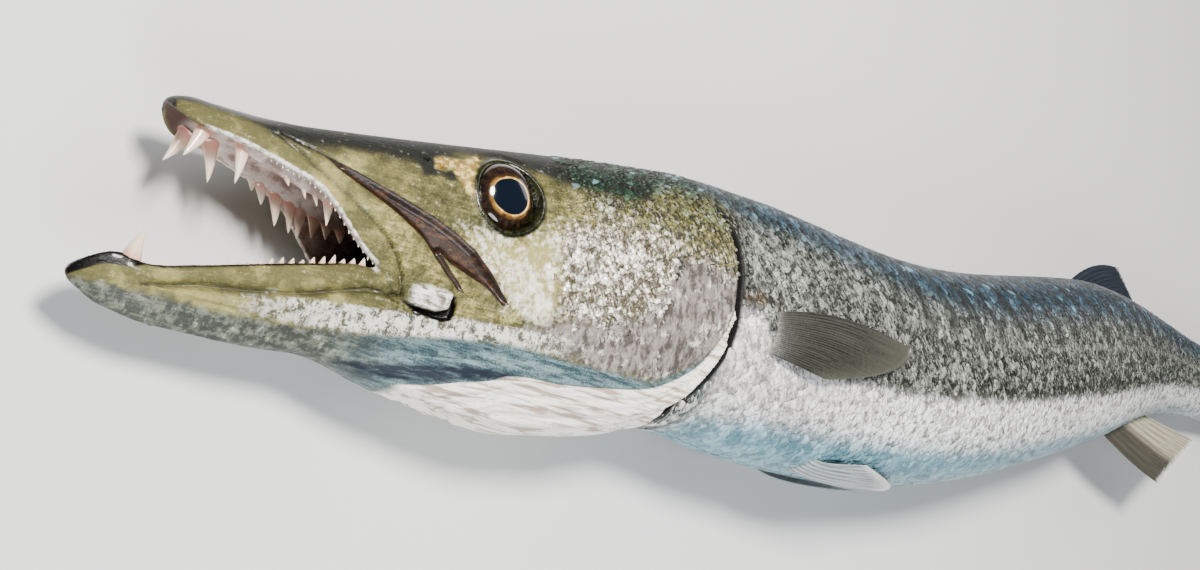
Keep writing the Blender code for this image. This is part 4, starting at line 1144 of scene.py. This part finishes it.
# Eyes: one dome each, painted by distance from the pupil
def eyeFinish():
    f = Finish("eye", Coat_Weight=0.7, Coat_Roughness=0.03, Specular_IOR_Level=0.3)
    spot = f.attribute("spot", "Vector")
    x, y = f.split(spot, 0) * 0.87, f.split(spot, 1)
    away = (x * x + y * y) ** 0.5
    grain = f.noise(f.join(y.maths("ARCTAN2", x) * 5, away * 2), 1.6, 3, 0.6)
    cloud = f.noise(spot, 1.4, 2, 0.5)
    amber = f.two(cloud + grain * 0.4 - x * 0.12 - y * 0.1, 0.6, 0.95,
                  (0.03, 0.012, 0.004), (0.3, 0.15, 0.03))
    gilt = f.two(cloud, 0.4, 0.6, (0.34, 0.17, 0.03), (0.72, 0.5, 0.16))
    pupil = f.span(away + f.span(x, -0.9, -0.3, -0.07, 0), 0.88, 0.84)
    colour = f.layers(
        f.two(grain, 0.35, 0.75, (0.003, 0.002, 0.002), (0.03, 0.014, 0.006)),
        (f.span(away + (grain - 0.5) * 0.25, 1.15, 0.96), amber),
        (f.span(away, 0.97, 0.91) * f.span(away, 0.83, 0.87), gilt),
        (pupil, (0.001, 0.003, 0.008)))
    return f.wear(Base_Color=colour, Roughness=0.08 + grain * 0.06)


def makeEye(name, side, material):
    rings, turns = 40, 96
    r, a = np.meshgrid(np.linspace(0, 1, rings) ** 0.9, onceRound(turns), indexing="ij")
    x, y = eye["radius"] * r * np.cos(a), eye["radius"] * r * np.sin(a)
    dome = eye["depth"] * (1 - r ** 2.8) ** (1 / 2.2)
    flat = -0.6 * eye["depth"] * (1 - r ** 2) ** 0.5
    points = np.concatenate([np.stack([eye["along"] + x, eye["up"] + y, eyeOut + rise], -1)
                             .reshape(-1, 3) for rise in (dome, flat)])
    spots = np.concatenate([np.stack([x, y, 0 * x], -1).reshape(-1, 3)] * 2)
    points[:, 2] *= side
    faces = [gridFaces(rings, turns, wrap=True),
             gridFaces(rings, turns, wrap=True, start=rings * turns)[:, ::-1]]
    obj = meshFrom(name, layDown(points), faces, {"spot": spots})
    weld = obj.modifiers.new("weld", "WELD")
    weld.merge_threshold = 0.00002
    obj.data = applied(obj)
    obj.modifiers.clear()
    obj.data.materials.clear()
    obj.data.materials.append(material)
    return faceOutward(obj)


eyeMaterial = eyeFinish()
eyes = [makeEye("eyeball_left", 1, eyeMaterial), makeEye("eyeball_right", -1, eyeMaterial)]
print("eyes")

# Teeth: flattened, slightly hooked cones. Fangs: along, out, lean, size.
# Palate teeth: along, up, lean, size, share of it at the left.
teeth = {"sides": 12, "rows": 14, "small": 19, "fine": 26}
fangs = ((4.2, 0.8, 0.75, 1.6), (4.1, -0.8, 0.8, 1.55), (5.95, 0.9, 0, 2.1), (5.2, -0.8, -0.3, 1.9))
palateTeeth = (
    (7.6, -0.2, -0.1, 0.8, 0.4), (8.2, -0.6, -0.2, 1.05, 0.4), (8.95, -0.75, -0.25, 1.5, 0.4),
    (9.65, -0.9, -0.25, 1.65, 0.4), (10.35, -1, -0.1, 1.6, 0.75), (11.05, -1.1, -0.1, 1.2, 0.4),
    (11.8, -1.3, -0.1, 0.9, 0.4), (12.6, -1.5, -0.1, 0.7, 0.4))


def toothPoints(root, tip, wide, thin, hook):
    axis = tip - root
    length = np.linalg.norm(axis)
    axis = axis / length
    fore = np.array([-1, 0, 0]) - axis * -axis[0]
    fore /= np.linalg.norm(fore)
    out = np.cross(axis, fore)
    a = onceRound(teeth["sides"])[:, None]
    rows = []
    for t in np.linspace(0, 1, teeth["rows"]):
        girthHere = (1 - t) ** 0.8 * (1 + 0.2 * math.exp(-(t / 0.12) ** 2))
        centre = root + axis * length * t + fore * hook * math.sin(math.pi * t) * length
        rows.append(centre + girthHere * (wide * np.cos(a) * fore + thin * np.sin(a) * out))
    rows[-1][:] = rows[-1].mean(0)   # the tip is a point
    return np.array(rows)


# Each tooth: root, tip, half length, half thickness, hook
def toothList():
    found = []

    def add(at, up, off, lean, size, wide, thin, hook):
        root = np.array([at, up, off])
        found.append((root, root + (-lean, -size, 0.05 * np.sign(off)), wide, thin, hook))

    for at, off, lean, size in fangs:
        add(at, 0.45, off, lean, size, 0.44, 0.27, -0.04)
    for at, up, lean, size, left in palateTeeth:
        for side, share in ((1, left), (-1, 1)):
            grow = draw.uniform(0.9, 1.1) * share
            add(at + draw.uniform(-0.08, 0.08), up, side * (0.75 + 0.045 * at), lean, size * grow,
                0.4 * grow, 0.17, -0.02)
    add(2.3, -6.45, 0.5, -0.35, -1.85, 0.58, 0.38, 0.05)
    for side in (1, -1):
        for share in np.linspace(0, 1, teeth["small"]):
            at = 3.9 + 8.2 * share
            off = 0.92 * widthAt(at, lowerLip(at)) - 0.17
            add(at, lowerLip(at) - 0.14, side * off, -0.05,
                -(0.18 + 0.36 * share) * draw.uniform(0.65, 1.25), 0.12 + 0.12 * share, 0.09, 0)
        for i in range(teeth["fine"]):
            at = 6.6 + 0.27 * i
            edge = upperLip(at)
            add(at, edge + 0.12, side * (widthAt(at, edge) - 0.3), 0.02,
                draw.uniform(0.16, 0.24), 0.07, 0.05, 0)
    return found


def toothFinish():
    f = Finish("tooth ivory", Coat_Weight=0.5, Coat_Roughness=0.08, Subsurface_Weight=0.05,
               Subsurface_Scale=0.004)
    place, tipward = f.attribute("place", "Vector"), f.attribute("tipward")
    cloud = f.noise(place, 2, 3, 0.6)
    colour = f.layers(
        f.two(tipward + (cloud - 0.5) * 0.4, 0.05, 0.6, (0.55, 0.25, 0.18), (0.72, 0.58, 0.44)),
        (f.span(tipward, 0.75, 1) * 0.5, (0.72, 0.66, 0.5)))
    return f.wear(Base_Color=colour, Roughness=0.2 + cloud * 0.12,
                  Normal=f.bump(f.noise(f.stretch(place, (3, 0.6, 3)), 4), 0.25, 0.0004))


def makeTeeth():
    points, faces, caps = [], [], []
    sides, rows = teeth["sides"], teeth["rows"]
    for n, tooth in enumerate(toothList()):
        first = n * rows * sides
        points.append(toothPoints(*tooth).reshape(-1, 3))
        faces.append(gridFaces(rows, sides, wrap=True, start=first))
        caps.append(first + np.arange(sides)[None])
    tipward = np.tile(np.repeat(np.linspace(0, 1, rows), sides), len(points))
    points = np.concatenate(points)
    obj = meshFrom("teeth", layDown(points), [np.concatenate(faces), np.concatenate(caps)],
                   {"place": points, "tipward": tipward})
    obj.data.materials.append(toothFinish())
    return faceOutward(obj)


teethObj = makeTeeth()
print("teeth")

# Fins: ridged sheets with finer rays than the solids
finLook = {"rayRoot": 0.056, "rayTip": 0.026, "webRoot": 0.042, "webTip": 0.022, "fan": 6}

# Their paints: dark, light, tip, and the share of a ray where the tip's paint starts and is full
finPaints = {
    "pectoral": ("chest fin", (0.006, 0.006, 0.006), (0.034, 0.035, 0.026), (0.056, 0.056, 0.043),
                 0.6, 1.15),
    "pelvic": ("belly fin", (0.1, 0.115, 0.11), (0.4, 0.44, 0.44), (0.62, 0.62, 0.58), 0.8, 1),
    "second": ("rear back fin", (0.003, 0.006, 0.014), (0.016, 0.022, 0.032), (0.62, 0.62, 0.58),
               0.9, 1),
    "first": ("front back fin", (0.03, 0.035, 0.035), (0.1, 0.11, 0.11), (0.05, 0.05, 0.05), 0.8, 1),
    "anal": ("rear belly fin", (0.2, 0.18, 0.12), (0.42, 0.4, 0.3), (0.62, 0.62, 0.58), 0.88, 0.97),
    "caudal": ("tail fin", (0.022, 0.026, 0.03), (0.09, 0.1, 0.105), (0.3, 0.31, 0.31), 0.93, 1.02)}
finPatches = {
    "pectoral": {"rootPaint": (0.3, 0.28, 0.24)},
    "anal": {"chordPaint": ((0.58, 0.36), 0.9, (0.02, 0.018, 0.014))}}


def bowedRay(root, tip, bow, rows):
    v = np.linspace(0, 1, rows)[:, None]
    return np.array(root) * (1 - v) + np.array(tip) * v + np.array(bow) * 4 * v * (1 - v)


def finSheet(name, rays, rootHalf=None):
    rays = np.array(rays)
    fan = finLook["fan"]
    count = (len(rays) - 1) * fan + 1
    at = np.linspace(0, len(rays) - 1, count)
    before = np.clip(at.astype(int), 0, len(rays) - 2)
    t = (at - before)[:, None, None]
    grid = rays[before] * (1 - t) + rays[before + 1] * t
    rows = grid.shape[1]
    v = np.linspace(0, 1, rows)[None]
    fork = smooth(0.45, 0.8, v)
    wave = np.cos(2 * np.pi * at)[:, None] * (1 - fork) + np.cos(4 * np.pi * at)[:, None] * fork
    ray = 0.5 + 0.5 * wave
    thickRay = finLook["rayRoot"] * (1 - v) + finLook["rayTip"] * v
    thickWeb = finLook["webRoot"] * (1 - v) + finLook["webTip"] * v
    half = thickWeb + (thickRay - thickWeb) * ray
    if rootHalf is not None:
        half = np.maximum(half, rootHalf(at / (len(rays) - 1), np.linspace(0, 1, rows)))
    along, across = np.gradient(grid, axis=1), np.gradient(grid, axis=0)
    normal = np.cross(along, across)
    normal /= np.linalg.norm(normal, axis=-1, keepdims=True) + 1e-9
    edge = np.minimum(np.minimum(at, len(rays) - 1 - at)[:, None] * 1.2, (1 - v) * 12)
    half = half * (0.45 + 0.55 * smooth(0, 1, edge))
    top = (grid + normal * half[..., None]).reshape(-1, 3)
    under = (grid - normal * half[..., None]).reshape(-1, 3)
    size = count * rows
    faces = [gridFaces(count, rows), size + gridFaces(count, rows)[:, ::-1]]
    i, j = np.arange(count), np.arange(rows)
    loop = np.concatenate([i * rows, (count - 1) * rows + j[1:], i[::-1][1:] * rows + rows - 1,
                           j[::-1][1:-1]])
    nxt = np.roll(loop, -1)
    faces.append(np.stack([nxt, loop, loop + size, nxt + size], 1))
    points = np.concatenate([top, under])
    chord = at[:, None] / (len(rays) - 1)
    values = {key: np.tile((value + 0 * ray).ravel(), 2)
              for key, value in (("ray", ray), ("reach", v), ("chord", chord))}
    return faceOutward(meshFrom(name, layDown(points), faces, {"place": points, **values}))


def medianRays(first, last, count, bows, rows=22, lean=0):
    rays = []
    for v in np.linspace(0, 1, count):
        root = np.array(first[0]) * (1 - v) + np.array(last[0]) * v
        tip = np.array(first[1]) * (1 - v) + np.array(last[1]) * v
        above = root[1] > 0
        root[1] = back(root[0]) - 0.1 if above else -belly(root[0]) + 0.1
        tip[2] += lean
        rays.append(bowedRay(root, tip, (0, bows[0] * (1 - v) + bows[1] * v, 0), rows))
    return rays


def caudalRays(count=37, rows=40):
    rays = []
    start = body["stalkEnd"] - 0.3
    for q in np.linspace(-1, 1, count):
        size, side = abs(q), 1 if q > 0 else -1
        tip = (114.5 + 10.5 * size ** 1.25, side * 10.4 * size ** 0.95, 0)
        rays.append(bowedRay((start, 0.93 * q * back(body["stalkEnd"]), 0), tip,
                             (0, side * 0.7 * size ** 2, 0), rows))
    return rays


def flankRays(roots, tips, stand, side, rows=26, crown=0, arch=0):
    rays = []
    v = np.linspace(0, 1, rows)
    last = len(roots[0]) - 1
    for i, (root, tip) in enumerate(zip(np.transpose(roots), np.transpose(tips))):
        s = root[0] + (tip[0] - root[0]) * v ** 1.15
        a = root[1] + (tip[1] - root[1]) * v
        a = a + arch * np.sin(np.pi * v) * (1 - i / last)
        off = 0.1 + (stand[0] + stand[1] * v) * (1 - (1 - v) ** 6)
        off += crown * np.sin(np.pi * v) * math.sin(math.pi * i / last)
        here = skinAt(s, a)
        normal = np.cross(skinAt(s + 0.1, a) - here, skinAt(s, a - 1) - here)
        normal /= np.linalg.norm(normal, axis=-1, keepdims=True)
        normal *= np.where(normal[:, 2:3] < 0, -1, 1)
        point = here + normal * (off - 0.16 * (1 - v) ** 8)[:, None]
        rays.append(point * (1, 1, side))
    return rays


def finFinish(name, dark, light, tipPaint, tipFrom, tipTo, chordPaint=None, rootPaint=None):
    f = Finish(name, Coat_Weight=0.08, Coat_Roughness=0.15, Specular_IOR_Level=0.2)
    ray, reach, chord = f.attribute("ray"), f.attribute("reach"), f.attribute("chord")
    place = f.attribute("place", "Vector")
    fine = f.noise(place, 6, 3, 0.6)
    joints = f.noise(f.stretch(place, (7, 1.5, 1.5)), 1.5, 2, 0.5)
    streak = f.noise(f.join(chord * 34, reach * 2.2), 1.3, 4, 0.7, 0.3)
    colour = f.two(ray * 0.25 + streak * 0.9 + fine * 0.2, 0.46, 0.86, dark, light)
    if chordPaint:
        where, amount, paint = chordPaint
        colour = f.blend(f.span(chord + (fine - 0.5) * 0.15, *where) * amount, colour, paint)
    colour = f.blend(f.span(reach + (fine - 0.5) * 0.2, tipFrom, tipTo), colour, tipPaint)
    if rootPaint:
        colour = f.blend(f.span(reach + (streak - 0.5) * 0.2, 0.14, 0), colour, rootPaint)
    return f.wear(Base_Color=colour, Roughness=0.3 + fine * 0.2,
                  Normal=f.bump(joints * 0.6 + fine * 0.4, 0.35, 0.0006))


def makeFins():
    v, k = np.linspace(0, 1, 25), np.arange(7)
    reach = 45 - 6.2 * v ** 1.6
    folded = [bowedRay((s, back(s) - 0.05, 0), (s + 1.6, back(s + 1.6) + 0.5 - 0.05 * i, 0),
                       (0, 0.04, 0), 10) for i, s in enumerate(44.5 + 1.7 * np.arange(5))]

    def swell(u, v):
        thick = 0.85 * halfWidth(body["stalkEnd"])
        return (0.05 + thick * (1 - (2 * u - 1) ** 2))[:, None] * smooth(0.26, 0, v)[None]

    sheets = [
        ("first_dorsal_fin", "dorsal_fin_front", folded, None),
        ("second_dorsal_fin", "dorsal_fin_rear", medianRays(
            ((75.3, 1, 0), (84.2, 7.25, 0)), ((83.6, 1, 0), (86.4, 5, 0)), 11, (0.62, 0.05)), None),
        ("anal_fin", "belly_fin_rear", medianRays(
            ((78.5, -1, 0), (88, -9.4, 0)), ((87.5, -1, 0), (96.6, -5.4, 0)), 10, (-0.45, -0.1),
            lean=1), None),
        ("caudal_fin", "tail_fin", caudalRays(), swell),
        ("pectoral_fin_left", "chest_fin_left", flankRays(
            (34.9 + 0.4 * v, -3 - 15 * v), (reach, -1.5 - 20.5 * v ** 0.8), (0.25, 0.4), 1,
            crown=0.15, arch=3.5), None),
        ("pectoral_fin_right", "chest_fin_right", flankRays(
            (34 + 0.5 * v, -9 - 16 * v), (reach - 0.8, -36 - 20 * v ** 0.8), (0.12, 0.1), -1), None)]
    for label, side in (("left", 1), ("right", -1)):
        sheets.append(("pelvic_fin_" + label, "belly_fin_" + label, flankRays(
            (41.6 + 0.08 * k, -80 + 2.6 * k), (49.6 - 0.12 * k * k, -82 + 4.2 * k), (0.16, 0.12),
            side), None))
    made = {node: finSheet(name, rays, rootHalf) for node, name, rays, rootHalf in sheets}
    finishes = {key: finFinish(*paint, **finPatches.get(key, {})) for key, paint in finPaints.items()}
    for node, fin in made.items():
        fin.data.materials.append(finishes[node.split("_")[0]])
    return made


fins = makeFins()
print("fins", len(fins))

# Which pieces stand for which solids
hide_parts("head", "upper_jaw", "lower_jaw", "throat", "gill_cover_left",
            "gill_cover_right")
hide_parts("trunk_front", "trunk_middle", "trunk_rear", "tail_stalk")
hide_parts("eye_left")
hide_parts("eye_right")
for node, fin in fins.items():
    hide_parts(node)
    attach(fin, "root")
for piece, slot in ((headObj, "head_skin"), (bodyObj, "trunk_skin"), (teethObj, "jaw"),
                    (eyes[0], "eye"), (eyes[1], "eye"), *((s, "trunk_skin") for s in scalePieces)):
    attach(piece, "root")

# Floor, lights and the camera where the photographer stood
view = {
    "focal": 1536.97, "width": 1200, "yaw": 43.297, "pitch": 9.29, "roll": 1.788,
    "spot": (-27.276, -16.944, 59.393)}
stage = {"size": 14, "floor": (0.64, 0.64, 0.635), "sky": (0.93, 0.96, 1), "strength": 0.17}
lamps = (("key", (-0.65, 0.45, 1.4), (-0.1, 0, 0.05), 0.4, 62, (1, 0.97, 0.92)),
         ("fill", (-0.7, -1, 0.8), (-0.15, -0.05, 0.05), 0.8, 22, (0.9, 0.95, 1)),
         ("rim", (1.3, 0.9, 1), (0.2, 0, 0.05), 0.9, 7, (1, 1, 1)))


def makeFloor():
    corners = np.array([(-1, -1, 0), (1, -1, 0), (1, 1, 0), (-1, 1, 0)]) * stage["size"]
    floor = meshFrom("floor", corners - (0, 0, 0.0002), [np.arange(4)[None]])
    f = Finish("floor", Roughness=0.75)
    floor.data.materials.append(f.wear(Base_Color=(*stage["floor"], 1)))


def addLamp(name, spot, target, size, power, colour):
    data = bpy.data.lights.new(name, "AREA")
    data.shape, data.size, data.energy, data.color = "DISK", size, power, colour
    aim = (Vector(target) - Vector(spot)).to_track_quat("-Z", "Y").to_matrix().to_4x4()
    addObject(name, data).matrix_world = Matrix.Translation(spot) @ aim


def makeCamera():
    yaw, pitch, roll = (math.radians(view[key]) for key in ("yaw", "pitch", "roll"))
    level = Vector((math.sin(yaw), 0, -math.cos(yaw)))
    right = Vector((math.cos(yaw), 0, math.sin(yaw)))
    up = Vector((0, 1, 0))
    forward = level * math.cos(pitch) + up * math.sin(pitch)
    tilted = up * math.cos(pitch) - level * math.sin(pitch)
    turned = Matrix((right * math.cos(roll) + tilted * math.sin(roll),
                     tilted * math.cos(roll) - right * math.sin(roll), -forward)).transposed()
    data = bpy.data.cameras.new("camera")
    data.sensor_width, data.lens = 36, 36 * view["focal"] / view["width"]
    data.clip_start, data.clip_end = 0.01, 100
    camera = addObject("camera", data)
    spot = Vector(view["spot"]) * cm + Vector(frameShift)
    camera.matrix_world = Matrix.Translation(spot) @ turned.to_4x4()
    bpy.context.scene.camera = camera


makeFloor()
makeCamera()
for lamp in lamps:
    addLamp(*lamp)
world = bpy.data.worlds.new("studio")
bpy.context.scene.world = world
world.use_nodes = True
sky = world.node_tree.nodes["Background"]
sky.inputs["Color"].default_value = (*stage["sky"], 1)
sky.inputs["Strength"].default_value = stage["strength"]
print("stage")
